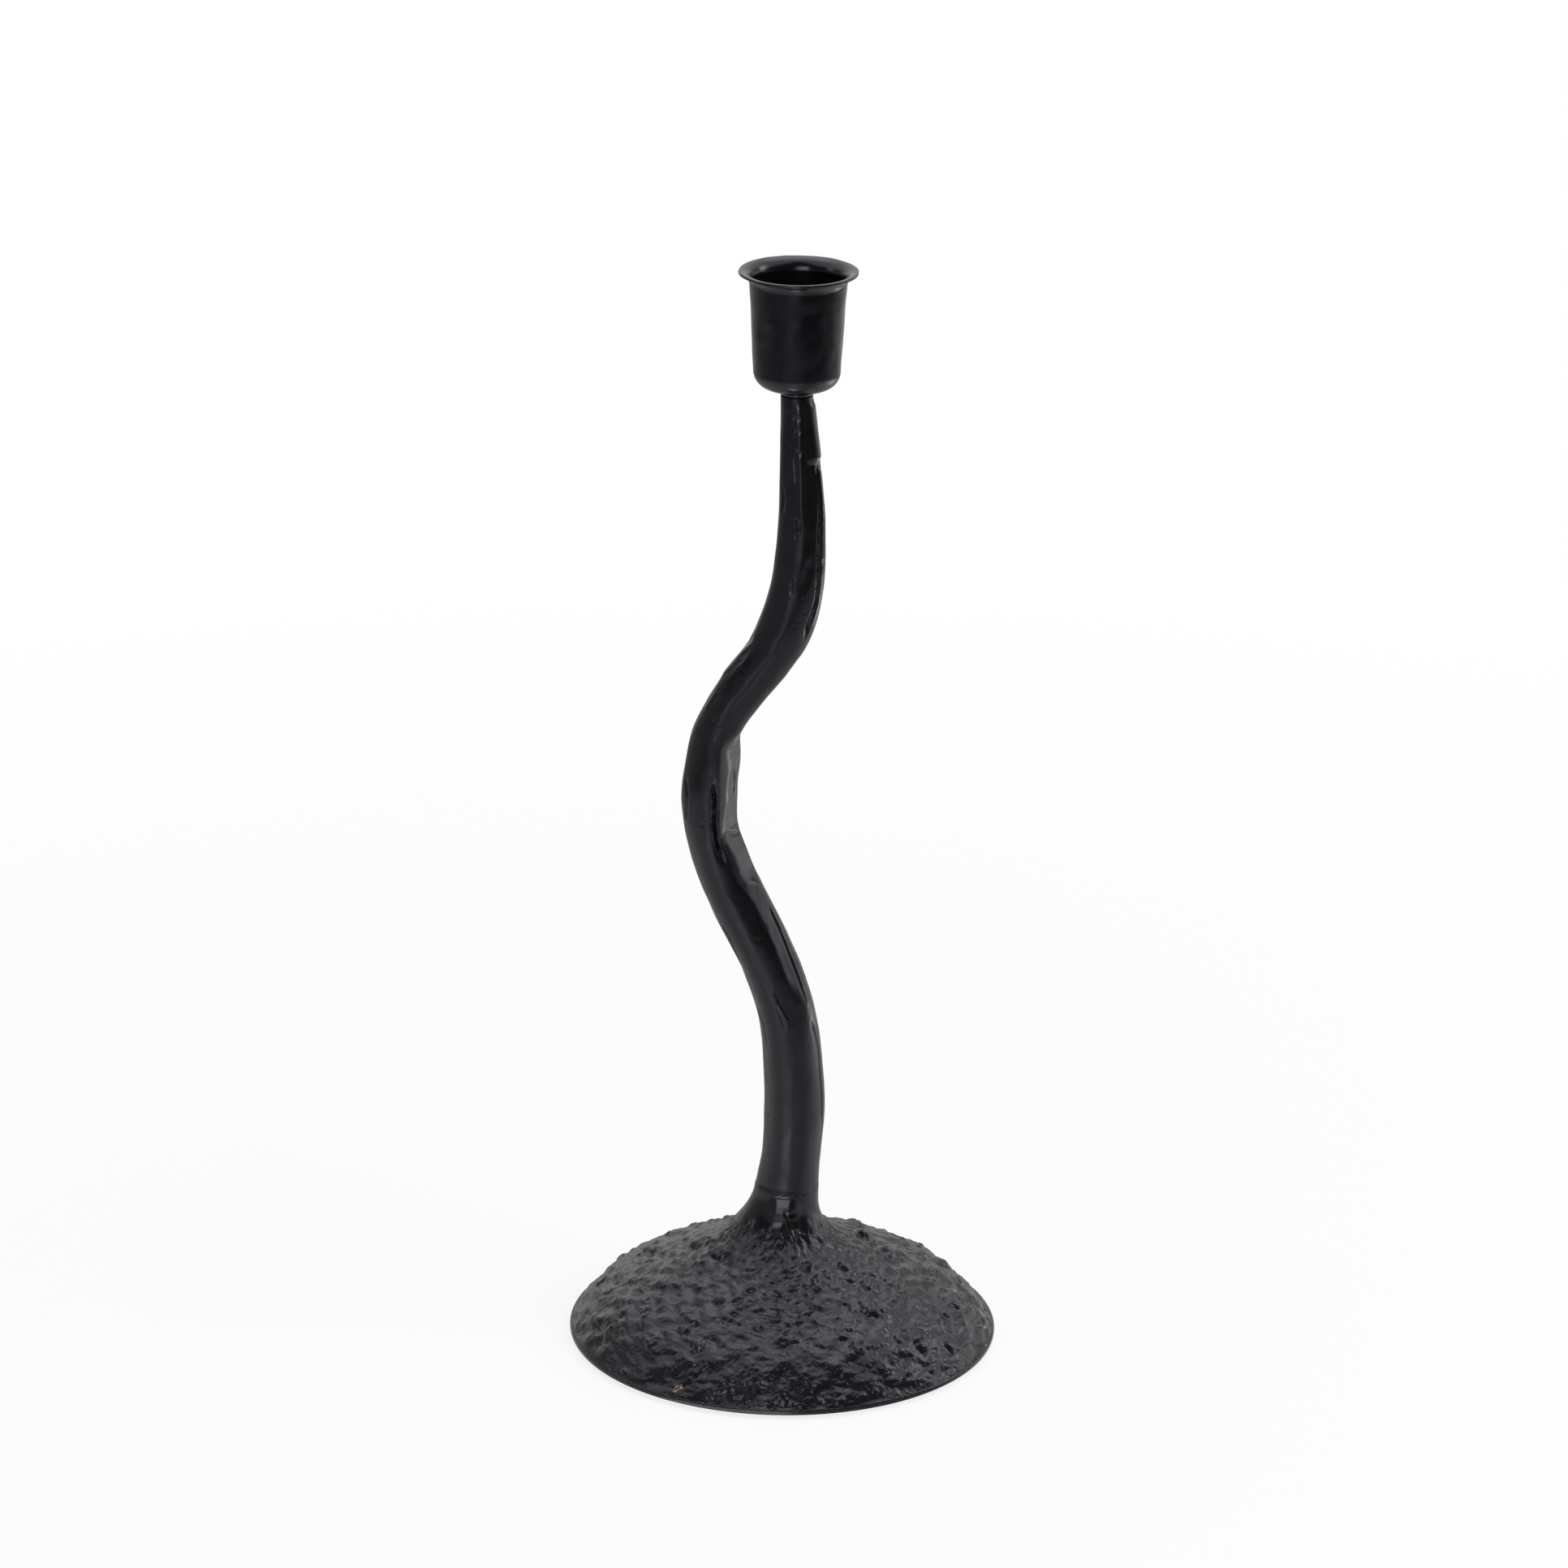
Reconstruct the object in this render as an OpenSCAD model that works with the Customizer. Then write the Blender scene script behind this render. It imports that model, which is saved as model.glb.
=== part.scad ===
// A candle holder: a rough cast foot, a wavy hand-shaped stem and a thin metal cup.
// Lengths are in millimetres. The foot is centred on the z axis, its felt pads stand
// on z = 0, and the front of the object faces -y. A bolt from below ties the stem to
// the foot, and a screw through the cup's floor ties the cup to the stem.

/* [Foot] */
// Diameter of the cast foot
base_d = 120; // [100:1:160]
// Height of the dome, from the smooth edge to the foot of the neck
dome_h = 23.6; // [18:0.1:32]
// Height of the smooth upright edge
edge_h = 1.4; // [0.8:0.1:3]
// Step in from the smooth edge to the rough skin
edge_step = 0.6; // [0.3:0.1:2]
// Wall of the hollow casting, measured upright
base_wall = 5; // [3.5:0.1:8]
// Width of the flat ring under the edge
foot_ring_w = 13; // [9:0.1:14]
// Height of the main lumps in the rough skin
lump_h = 1; // [0.1:0.1:1.5]
// Width of the main lumps in the rough skin
lump_w = 5; // [3:0.1:7]

/* [Neck] */
// Height of the smooth neck above the dome
neck_h = 18.5; // [12:0.1:26]
// Step of the neck's top out past the stem that sits on it
neck_step = 0.2; // [0:0.1:1]
// Diameter over which the neck runs out into the dome
neck_foot_d = 44; // [34:1:60]

/* [Stem] */
// Height of the stem
stem_h = 230; // [140:1:340]
// Thickness of the stem's rod along its middle
stem_d = 16; // [14:0.1:22]
// Diameter of the stem's lower end
stem_foot_d = 17.6; // [14:0.1:20]
// Diameter of the stem's upper end
stem_top_d = 8.8; // [8:0.1:12]
// Furthest that the rod's centre swings to the side
stem_sway = 22.1; // [0:0.1:40]
// Place of the stem's ends and of the cup, to the right of the foot's axis
stem_x = 0.8; // [0:0.1:1.6]
// Depth of the long gouge in the rod's right side
gouge_depth = 2.5; // [0:0.1:4]

/* [Candle cup] */
// Diameter of the candle that the cup takes
candle_d = 22; // [20:0.1:26]
// Room round the candle, on the diameter
candle_play = 0.3; // [0.2:0.05:0.6]
// Length of the straight seat that holds the candle
seat_l = 12; // [8:0.5:14]
// Wall of the cup beside the seat's lower end
seat_wall = 0.75; // [0.5:0.05:1.5]
// Wall of the cup under the lip
cup_wall = 1; // [0.6:0.1:1.5]
// Thickness of the cup's floor
cup_floor = 1; // [0.6:0.1:2]
// Height of the cup
cup_h = 32.5; // [30:0.5:44]
// Growth of the cup's outer radius from the seat's lower end to the lip
cup_taper = 1.15; // [0.8:0.05:1.6]
// Outer radius of the bend between floor and wall
cup_bend_r = 5; // [4:0.1:7]
// How far the lip flares out past the wall
lip_out = 3.1; // [1:0.1:6]
// Height of the flared lip
lip_h = 4; // [2:0.1:6]
// Thickness of the lip's edge
lip_t = 0.8; // [0.4:0.1:1.2]

/* [Cup collar] */
// Height of the collar between stem and cup
collar_h = 2; // [1.5:0.1:5]
// Step of the collar's ends out past the stem's upper end
collar_step = 0.2; // [0:0.1:0.6]
// Depth of the groove round the collar's waist
collar_groove = 0.5; // [0:0.1:1]

/* [Cup screw] */
// Diameter of the cup screw
screw_d = 4; // [3:0.1:4.5]
// Length of the cup screw inside the stem
screw_bite = 10; // [5:0.5:16]
// Diameter of the cup screw's head
screw_head_d = 8; // [7:0.1:9]
// Height of the cup screw's head
screw_head_h = 2.4; // [1.6:0.1:3]
// Length of each arm of the cross recess, from tip to tip
recess_l = 4.4; // [3:0.1:6]
// Width of the cross recess
recess_w = 0.9; // [0.5:0.1:1.2]
// Depth of the cross recess
recess_depth = 1.3; // [0.8:0.1:1.5]
// Diameter of the washer under the screw's head
cup_washer_d = 9; // [8.5:0.1:10]
// Thickness of the washer under the screw's head
cup_washer_t = 0.8; // [0.5:0.1:1.2]

/* [Tie bolt] */
// Diameter of the tie bolt
bolt_d = 6; // [4:0.1:8]
// Length of the tie bolt inside the stem
bolt_bite = 13; // [6:0.5:20]
// Width of the bolt's hexagon head across its flats
bolt_head_w = 10; // [9:0.1:13]
// Height of the bolt's hexagon head
bolt_head_h = 4; // [2.5:0.1:5]
// Diameter of the flat washer
tie_washer_d = 18; // [14:0.1:22]
// Thickness of the flat washer
tie_washer_t = 1.6; // [0.8:0.1:2.5]
// Diameter of the split lock washer
lock_washer_d = 11.8; // [10:0.1:13]
// Thickness of the split lock washer
lock_washer_t = 1.6; // [0.8:0.1:2.5]
// Width of the lock washer's split
lock_split_w = 1; // [0.5:0.1:2]

/* [Felt pads] */
// Diameter of a felt pad
pad_d = 8; // [5:0.1:8.5]
// Thickness of a felt pad
pad_h = 1; // [0.5:0.1:3]

/* [Fits] */
// Room round a thread in its tapped hole, on the diameter
thread_play = 0.1; // [0.05:0.05:0.3]
// Room round a screw or bolt in a plain hole, on the diameter
hole_play = 0.6; // [0.3:0.1:1]
// Room between a thread's tip and the end of its blind hole
tip_play = 2; // [1:0.5:4]

/* [Hidden] */

// Overrun of every cut past the face that it opens
overrun = 0.5;
// Facets of a full circle, and steps of a quarter bend
round_fn = 96;
bend_steps = 8;

// Heights of the main faces, from the ground up
edge_top_z = pad_h + edge_h;
dome_top_z = edge_top_z + dome_h;
neck_top_z = dome_top_z + neck_h;
stem_top_z = neck_top_z + stem_h;
cup_bottom_z = stem_top_z + collar_h;
cup_floor_z = cup_bottom_z + cup_floor;
cup_top_z = cup_bottom_z + cup_h;
lip_root_z = cup_top_z - lip_h;
ceiling_z = dome_top_z - base_wall;

// Widths that follow the stem's two ends
neck_top_r = stem_foot_d / 2 + neck_step;
collar_r = stem_top_d / 2 + collar_step;

// Radii of the cup, from the candle outwards
seat_r = (candle_d + candle_play) / 2;
cup_bend_in_r = cup_bend_r - cup_floor;
cup_lower_r = seat_r + seat_wall;
cup_upper_r = cup_lower_r + cup_taper;
cup_rim_r = cup_upper_r + lip_out;
seat_z = cup_floor_z + cup_bend_in_r;

// Dome of the foot: the share of the way from the neck's foot to the edge, and the
// share of the dome's height there
dome_shares = [
    [0, 1], [0.2, 0.85], [0.42, 0.7], [0.6, 0.56], [0.76, 0.41], [0.9, 0.19], [1, 0]
];
// Bend of the neck's flare, and how much later it flares on the right than on the left
flare_power_share = 2.5;
flare_lean_share = 0.75;
// Share of the neck's height, from its top, where the rough skin starts
rough_start_share = 0.72;
// Share of the dome, from its edge, where the rough skin fades out
edge_fade_share = 0.06;
// Main lumps of the rough skin: direction in degrees from the right towards the back, share
// of the way out from the neck's foot to the edge, share of the lumps' height and of their width
lump_shares = [
    [24, 0.06, 1.3, 1.1], [5, 0.2, 1.4, 1.3], [-20, -0.05, 0.9, 0.8], [-40, 0, 0.9, 0.8],
    [-27, 0.15, 0.9, 1], [-38, 0.22, 1, 1], [-25, 0.3, 1, 1.15], [-73, 0.27, 0.9, 1.2],
    [-49, 0.41, 1.2, 1.5], [-11, 0.72, 1, 1.25], [-21, 0.73, 0.8, 0.7], [-4, 0.49, 0.6, 0.7],
    [3, 0.88, 0.6, 0.8], [-48, 0.7, 0.8, 0.7], [-41, 0.79, 1.1, 1.05], [-31, 0.87, 0.8, 0.75],
    [-64, 0.69, 0.9, 0.85], [172, 0.05, 0.8, 1.6], [-153, -0.05, 1, 1.2], [-157, 0.06, 0.9, 1.3],
    [-158, 0.36, 0.8, 1.3], [-122, 0.3, 0.8, 0.85], [-127, 0.61, 1, 0.9], [-135, 0.78, 0.8, 0.8],
    [-119, 0.69, 1.1, 1.05], [-156, 0.69, 0.5, 1], [150, 0.55, 0.6, 1.1], [140, 0.5, 0.6, 1],
    [128, 0.42, 0.6, 0.9], [116, 0.36, 0.7, 0.9], [50, 0.25, 0.9, 1.4], [30, 0.45, 0.8, 1.3],
    [98, 0.2, 0.9, 1.1], [82, 0.5, 1.1, 1.3], [70, 0.74, 0.9, 1], [104, 0.7, 1, 1.2],
    [128, 0.78, 0.8, 1], [60, 0.5, 0.7, 0.9], [90, 0.86, 0.7, 0.8], [162, 0.5, 0.9, 1.2],
    [172, 0.8, 0.8, 1], [20, 0.68, 0.8, 1], [44, 0.8, 1, 1.1], [12, 0.3, 0.7, 0.9]
];
// Unevenness between the lumps: share of their height, waves round the foot, and turn of the
// waves in degrees for each mm outwards
wave_shares = [[0.16, 17, 47], [0.13, 29, -55], [0.1, 37, 61]];
// Sides and rings of the foot's skin
base_sides = 128;
neck_rings = 10;
dome_rings = 20;

// Middle of the stem: share of its height, of its sway to the right, and of the rod's
// thickness from side to side and from front to back
stem_shares = [
    [0.05, 0.06, 1.01, 1.02], [0.1, 0.08, 1.03, 1.03], [0.16, 0.055, 1.02, 1.01],
    [0.22, -0.025, 1, 0.99], [0.28, -0.22, 1.04, 0.99], [0.34, -0.505, 1.1, 0.99],
    [0.4, -0.785, 1.06, 0.96], [0.46, -0.97, 1.01, 0.95], [0.51, -1, 1.03, 0.95],
    [0.55, -0.955, 1, 0.95], [0.585, -0.91, 0.91, 0.92], [0.62, -0.735, 0.96, 0.91],
    [0.66, -0.445, 1.05, 0.9], [0.7, -0.17, 1.03, 0.9], [0.76, 0.03, 0.92, 0.88],
    [0.84, 0.09, 0.79, 0.8], [0.92, 0.06, 0.68, 0.69]
];
// Long hand-worked flats round the rod: share of the radius, lobes and twist in degrees
flat_shares = [[0.03, 3, 260], [0.02, 5, -190], [0.015, 2, 420]];
// The gouge: the share of the stem's height at its middle, half its length as a share,
// its direction in degrees from the right towards the back, and half its width
gouge_share = 0.53;
gouge_reach_share = 0.1;
gouge_turn = -12;
gouge_spread = 42;
// Share of the stem's height over which the flats fade in from each end
fade_share = 0.06;
// Sides and rings of the stem's skin
stem_sides = 36;
stem_rings = 80;

// Radius of the ring on which the felt pads sit
pad_ring_r = (base_d - foot_ring_w) / 2;

// A smooth curve through the rows of a table, read at u in the rows' first column
function row_of(rows, u, i = 0) =
    i >= len(rows) - 2 || u < rows[i + 1][0] ? i : row_of(rows, u, i + 1);
function rise(rows, i, c) = (rows[i + 1][c] - rows[i][c]) / (rows[i + 1][0] - rows[i][0]);
function slope_of(rows, i, c) =
    i == 0 ? rise(rows, 0, c)
    : i == len(rows) - 1 ? rise(rows, i - 1, c)
    : (rise(rows, i - 1, c) + rise(rows, i, c)) / 2;
function curve(rows, u, c = 1) =
    let (i = row_of(rows, u))
    let (run = rows[i + 1][0] - rows[i][0])
    let (t = (u - rows[i][0]) / run)
    rows[i][c] * (1 + 2 * t) * pow(1 - t, 2)
    + rows[i + 1][c] * (3 - 2 * t) * pow(t, 2)
    + slope_of(rows, i, c) * run * t * pow(1 - t, 2)
    - slope_of(rows, i + 1, c) * run * (1 - t) * pow(t, 2);

function mix(a, b, t) = a + (b - a) * t;
function clamp(t) = min(max(t, 0), 1);
// A round bump, 1 at its middle and 0 from one reach away
function bump(x, reach) = abs(x) >= reach ? 0 : (1 + cos(180 * x / reach)) / 2;

// Faces of a closed skin over stacked level rings, each with the same number of points
function skin_faces(rings, sides) = concat(
    [for (j = [0 : rings - 2]) for (i = [0 : sides - 1]) [
        j * sides + i, (j + 1) * sides + i, j * sides + (i + 1) % sides
    ]],
    [for (j = [0 : rings - 2]) for (i = [0 : sides - 1]) [
        j * sides + (i + 1) % sides, (j + 1) * sides + i, (j + 1) * sides + (i + 1) % sides
    ]],
    [[for (i = [0 : sides - 1]) i]],
    [[for (i = [sides - 1 : -1 : 0]) (rings - 1) * sides + i]]
);
module skin(rings) {
    sides = len(rings[0]);
    polyhedron(points = [for (r = rings) each r], faces = skin_faces(len(rings), sides));
}

// Foot. Height of the dome's smooth surface at s, from the neck's foot to the edge
function dome_z(s) = edge_top_z + dome_h * curve(dome_shares, s);
function dome_r(s) = mix(neck_foot_d / 2, base_d / 2 - edge_step, s);
// Radius of the neck at t, from its top to its foot, in the direction a
function neck_r(t, a) = mix(
    neck_top_r, neck_foot_d / 2, pow(t, flare_power_share + flare_lean_share * cos(a))
);
function total(list) = list * [for (v = list) 1];
// Height of one main lump at a point of the foot
function lump(row, x, y) = lump_h * row[2] * bump(
    norm([x - dome_r(row[1]) * cos(row[0]), y - dome_r(row[1]) * sin(row[0])]),
    lump_w / 2 * row[3]
);
// Height of the rough skin over the smooth foot at radius r in the direction a
function skin_h(r, a) =
    total([for (row = lump_shares) lump(row, r * cos(a), r * sin(a))])
    + lump_h * total([for (row = wave_shares) row[0] * sin(row[1] * a + row[2] * r)]);
function base_ring(x, z, rough, radius) = [
    for (i = [0 : base_sides - 1]) let (a = 360 * i / base_sides) [
        x + radius[i] * cos(a),
        radius[i] * sin(a),
        z + (rough == 0 ? 0 : rough * skin_h(radius[i], a))
    ]
];
function around(r) = [for (i = [0 : base_sides - 1]) r];

module base_skin() {
    root = base_ring(0, pad_h + edge_h / 2, 0, around(dome_r(1)));
    dome = [for (j = [0 : dome_rings]) let (s = 1 - j / dome_rings)
        base_ring(0, dome_z(s), clamp((1 - s) / edge_fade_share), around(dome_r(s)))];
    neck = [for (j = [1 : neck_rings]) let (t = 1 - j / neck_rings)
        base_ring(
            stem_x * (1 - t), neck_top_z - neck_h * t,
            clamp((t - rough_start_share) / (1 - rough_start_share)),
            [for (i = [0 : base_sides - 1]) neck_r(t, 360 * i / base_sides)]
        )];
    skin(concat([root], dome, neck));
}

// The hollow under the foot follows the dome, one wall below it
module base_hollow() {
    ring_r = base_d / 2 - foot_ring_w;
    ring_s = (ring_r - dome_r(0)) / (dome_r(1) - dome_r(0));
    slope = [for (j = [0 : bend_steps]) let (s = ring_s * (1 - j / bend_steps))
        [dome_r(s), dome_z(s) - base_wall]];
    rotate_extrude($fn = round_fn)
        polygon(concat(
            [[0, pad_h - overrun], [ring_r, pad_h - overrun]], slope, [[0, ceiling_z]]
        ));
}

module base_casting() {
    color("#1c1c1e")
        difference() {
            union() {
                translate([0, 0, pad_h])
                    cylinder(d = base_d, h = edge_h, $fn = round_fn);
                base_skin();
            }
            base_hollow();
            translate([0, 0, ceiling_z - overrun])
                cylinder(
                    d = bolt_d + hole_play, h = neck_top_z - ceiling_z + 2 * overrun,
                    $fn = round_fn
                );
        }
}

// Stem. Rows of height share, place to the right, width and depth, end to end
stem_rows = concat(
    [[0, 0, stem_foot_d, stem_foot_d]],
    [for (row = stem_shares) [row[0], row[1] * stem_sway, row[2] * stem_d, row[3] * stem_d]],
    [[1, 0, stem_top_d, stem_top_d]]
);
function fade(u) = clamp(min(u, 1 - u) / fade_share);
function flats(u, a) = fade(u) * (
    flat_shares[0][0] * sin(flat_shares[0][1] * a + flat_shares[0][2] * u)
    + flat_shares[1][0] * sin(flat_shares[1][1] * a + flat_shares[1][2] * u)
    + flat_shares[2][0] * sin(flat_shares[2][1] * a + flat_shares[2][2] * u)
);
function gouge(u, a) =
    gouge_depth * bump(u - gouge_share, gouge_reach_share)
    * bump((a - gouge_turn + 540) % 360 - 180, gouge_spread);
function stem_ring(u) = [
    for (i = [0 : stem_sides - 1]) let (a = 360 * i / stem_sides) [
        stem_x + curve(stem_rows, u, 1)
            + (curve(stem_rows, u, 2) / 2 * (1 + flats(u, a)) - gouge(u, a)) * cos(a),
        (curve(stem_rows, u, 3) / 2 * (1 + flats(u, a)) - gouge(u, a)) * sin(a),
        neck_top_z + stem_h * u
    ]
];

module stem_casting() {
    bolt_hole_l = bolt_bite + tip_play;
    screw_hole_l = screw_bite + tip_play;
    color("#1a1a1c")
        difference() {
            skin([for (j = [0 : stem_rings]) stem_ring(j / stem_rings)]);
            translate([0, 0, neck_top_z - overrun])
                cylinder(d = bolt_d + thread_play, h = bolt_hole_l + overrun, $fn = round_fn);
            translate([stem_x, 0, stem_top_z - screw_hole_l])
                cylinder(d = screw_d + thread_play, h = screw_hole_l + overrun, $fn = round_fn);
        }
}

// Tie bolt with its two washers, hanging from the foot's ceiling
tie_washer_z = ceiling_z - tie_washer_t;
lock_washer_z = tie_washer_z - lock_washer_t;

module ring(outer_d, inner_d, h) {
    difference() {
        cylinder(d = outer_d, h = h, $fn = round_fn);
        translate([0, 0, -overrun])
            cylinder(d = inner_d, h = h + 2 * overrun, $fn = round_fn);
    }
}

module tie_bolt() {
    color("silver")
        union() {
            translate([0, 0, lock_washer_z - bolt_head_h])
                cylinder(d = bolt_head_w / cos(30), h = bolt_head_h, $fn = 6);
            translate([0, 0, lock_washer_z - bolt_head_h / 2])
                cylinder(
                    d = bolt_d, h = neck_top_z + bolt_bite - lock_washer_z + bolt_head_h / 2,
                    $fn = round_fn
                );
        }
}

module tie_washer() {
    color("silver")
        translate([0, 0, tie_washer_z])
            ring(tie_washer_d, bolt_d + hole_play, tie_washer_t);
}

module tie_lock_washer() {
    color("silver")
        translate([0, 0, lock_washer_z])
            difference() {
                ring(lock_washer_d, bolt_d + hole_play, lock_washer_t);
                translate([0, -lock_split_w / 2, -overrun])
                    cube([lock_washer_d / 2 + overrun, lock_split_w, lock_washer_t + 2 * overrun]);
            }
}

// Collar: a small spool between the stem's end and the cup
module cup_collar() {
    waist = [for (j = [0 : bend_steps]) let (t = j / bend_steps)
        [collar_r - collar_groove * sin(180 * t), collar_h * t]];
    color("#232325")
        translate([stem_x, 0, stem_top_z])
            difference() {
                rotate_extrude($fn = round_fn)
                    polygon(concat([[0, 0]], waist, [[0, collar_h]]));
                translate([0, 0, -overrun])
                    cylinder(d = screw_d + hole_play, h = collar_h + 2 * overrun, $fn = round_fn);
            }
}

// Cup. Its outline runs out along the underside, up the wall and round the lip, then
// back down inside, past the straight seat, to the floor
function bend(x, z, rx, rz, from, to) = [
    for (j = [0 : bend_steps]) let (a = mix(from, to, j / bend_steps)) [x + rx * cos(a), z + rz * sin(a)]
];
module candle_cup() {
    lip_root_r = cup_upper_r - cup_wall;
    under = bend(
        cup_lower_r - cup_bend_r, cup_bottom_z + cup_bend_r, cup_bend_r, cup_bend_r, -90, 0
    );
    lip_under = bend(cup_rim_r, lip_root_z, lip_out, lip_h - lip_t, 180, 90);
    lip_over = bend(cup_rim_r, lip_root_z, cup_rim_r - lip_root_r, lip_h, 90, 180);
    inside = bend(seat_r - cup_bend_in_r, seat_z, cup_bend_in_r, cup_bend_in_r, 0, -90);
    color("#1b1b1d")
        translate([stem_x, 0, 0])
            difference() {
                rotate_extrude($fn = round_fn)
                    polygon(concat(
                        [[0, cup_bottom_z]], under, lip_under, lip_over,
                        [[seat_r, seat_z + seat_l]], inside, [[0, cup_floor_z]]
                    ));
                translate([0, 0, cup_bottom_z - overrun])
                    cylinder(d = screw_d + hole_play, h = cup_floor + 2 * overrun, $fn = round_fn);
            }
}

// Screw and washer on the cup's floor
screw_seat_z = cup_floor_z + cup_washer_t;

module cup_washer() {
    color("silver")
        translate([stem_x, 0, cup_floor_z])
            ring(cup_washer_d, screw_d + hole_play, cup_washer_t);
}

module cup_screw() {
    dome = bend(0, 0, screw_head_d / 2, screw_head_h, 0, 90);
    shank_l = screw_seat_z - stem_top_z + screw_bite;
    color("silver")
        translate([stem_x, 0, screw_seat_z])
            difference() {
                union() {
                    rotate_extrude($fn = round_fn)
                        polygon(concat([[0, 0]], dome));
                    translate([0, 0, -shank_l])
                        cylinder(d = screw_d, h = shank_l + screw_head_h / 2, $fn = round_fn);
                }
                for (turn = [0, 90])
                    rotate(turn)
                        translate([-recess_l / 2, -recess_w / 2, screw_head_h - recess_depth])
                            cube([recess_l, recess_w, recess_depth + overrun]);
            }
}

// Felt pads under the foot's flat ring, placed by the direction in degrees from +x
module felt_pad(direction) {
    color("#3a3a3c")
        rotate(direction)
            translate([pad_ring_r, 0, 0])
                cylinder(d = pad_d, h = pad_h, $fn = round_fn);
}
module felt_pad_front() { felt_pad(-90); }
module felt_pad_right() { felt_pad(0); }
module felt_pad_back() { felt_pad(90); }
module felt_pad_left() { felt_pad(180); }

base_casting();
stem_casting();
tie_bolt();
tie_washer();
tie_lock_washer();
cup_collar();
candle_cup();
cup_washer();
cup_screw();
felt_pad_front();
felt_pad_right();
felt_pad_back();
felt_pad_left();
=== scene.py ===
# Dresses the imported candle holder: the cast foot's rough skin, the hand-worked stem, the thin
# cup and its fastenings, their finishes, and a plain studio with the photograph's camera.
# Shapes are worked out in millimetres and turned into metres when their mesh is made.
import math

import bpy
import numpy as np
from mathutils import Matrix, Vector, noise


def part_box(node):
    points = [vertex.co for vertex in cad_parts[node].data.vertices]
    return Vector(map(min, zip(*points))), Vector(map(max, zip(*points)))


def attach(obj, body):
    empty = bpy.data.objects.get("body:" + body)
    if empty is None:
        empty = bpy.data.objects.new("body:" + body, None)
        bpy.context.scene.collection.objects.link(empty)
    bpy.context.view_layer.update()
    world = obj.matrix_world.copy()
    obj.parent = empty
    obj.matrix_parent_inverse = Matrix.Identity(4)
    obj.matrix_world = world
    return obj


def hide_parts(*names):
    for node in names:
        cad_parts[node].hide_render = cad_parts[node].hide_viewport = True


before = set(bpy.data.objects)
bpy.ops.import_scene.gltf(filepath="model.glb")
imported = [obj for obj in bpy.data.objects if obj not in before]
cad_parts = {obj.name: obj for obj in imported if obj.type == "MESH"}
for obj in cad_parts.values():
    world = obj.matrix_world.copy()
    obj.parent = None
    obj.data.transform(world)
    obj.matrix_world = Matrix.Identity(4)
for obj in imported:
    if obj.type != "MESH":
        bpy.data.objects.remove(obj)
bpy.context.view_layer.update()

MM = 0.001
TAU = 2 * math.pi
SEED = 17


def box_mm(node):
    """Lowest and highest corner of a CAD node, in millimetres."""
    low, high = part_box(node)
    return np.array(low) / MM, np.array(high) / MM


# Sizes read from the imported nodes
foot_low, foot_high = box_mm("base_casting")
cup_low, cup_high = box_mm("candle_cup")
collar_low, collar_high = box_mm("cup_collar")
bolt_low, bolt_high = box_mm("tie_bolt")
screw_low, screw_high = box_mm("cup_screw")
EDGE_R = (foot_high - foot_low)[:2].min() / 2
FOOT_Z = foot_low[2]
NECK_TOP_Z = foot_high[2]
STEM_TOP_Z = box_mm("stem_casting")[1][2]
CUP_BOTTOM_Z = cup_low[2]
CUP_TOP_Z = cup_high[2]
CUP_X = (cup_low[0] + cup_high[0]) / 2
RIM_R = (cup_high - cup_low)[:2].min() / 2

# Foot and neck, as the source of the solids has them
DOME_H = 23.6
EDGE_H = 1.4
EDGE_STEP = 0.6
WALL = 5.0
RING_W = 13.0
NECK_H = 18.5
NECK_FOOT_R = 22.0
DOME_TOP_Z = NECK_TOP_Z - NECK_H
EDGE_TOP_Z = FOOT_Z + EDGE_H
DOME_R = EDGE_R - EDGE_STEP
CEILING_Z = DOME_TOP_Z - WALL
BOLT_HOLE_R = 3.3
# Down the dome: share of the way out, and share of its height
DOME_SHARES = [(0, 1), (0.2, 0.85), (0.42, 0.7), (0.6, 0.56), (0.76, 0.41), (0.9, 0.19), (1, 0)]
FLARE_POWER = 2.5
FLARE_LEAN = 0.75
ROUGH_START = 0.72
# The neck's faces further out than this are its skin; those nearer are the bolt hole's
NECK_SKIN_R = 4
# Shares of the neck's height, from its top, where its fine grain starts and where it is full
GRAIN_START = 0.38
GRAIN_FULL = 0.66

# Stem, as the source of the solids has it
STEM_H = STEM_TOP_Z - NECK_TOP_Z
STEM_X = CUP_X
STEM_D = 16.0
STEM_FOOT_D = 17.6
STEM_TOP_D = 8.8
STEM_SWAY = 22.1
GOUGE_DEPTH = 2.5
NECK_TOP_R = STEM_FOOT_D / 2 + 0.2
# Up the stem: share of its height, and shares of its sway, its width and its depth
STEM_SHARES = [
    (0.05, 0.06, 1.01, 1.02), (0.1, 0.08, 1.03, 1.03), (0.16, 0.055, 1.02, 1.01),
    (0.22, -0.025, 1, 0.99), (0.28, -0.22, 1.04, 0.99), (0.34, -0.505, 1.1, 0.99),
    (0.4, -0.785, 1.06, 0.96), (0.46, -0.97, 1.01, 0.95), (0.51, -1, 1.03, 0.95),
    (0.55, -0.955, 1, 0.95), (0.585, -0.91, 0.91, 0.92), (0.62, -0.735, 0.96, 0.91),
    (0.66, -0.445, 1.05, 0.9), (0.7, -0.17, 1.03, 0.9), (0.76, 0.03, 0.92, 0.88),
    (0.84, 0.09, 0.79, 0.8), (0.92, 0.06, 0.68, 0.69),
]
# Flats on it: share of its radius, count round the stem, and twist in degrees over its height
FLAT_SHARES = [(0.03, 3, 260), (0.02, 5, -190), (0.015, 2, 420)]
GOUGE_SHARE = 0.53
GOUGE_REACH = 0.1
GOUGE_TURN = -12
GOUGE_SPREAD = 42
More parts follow.
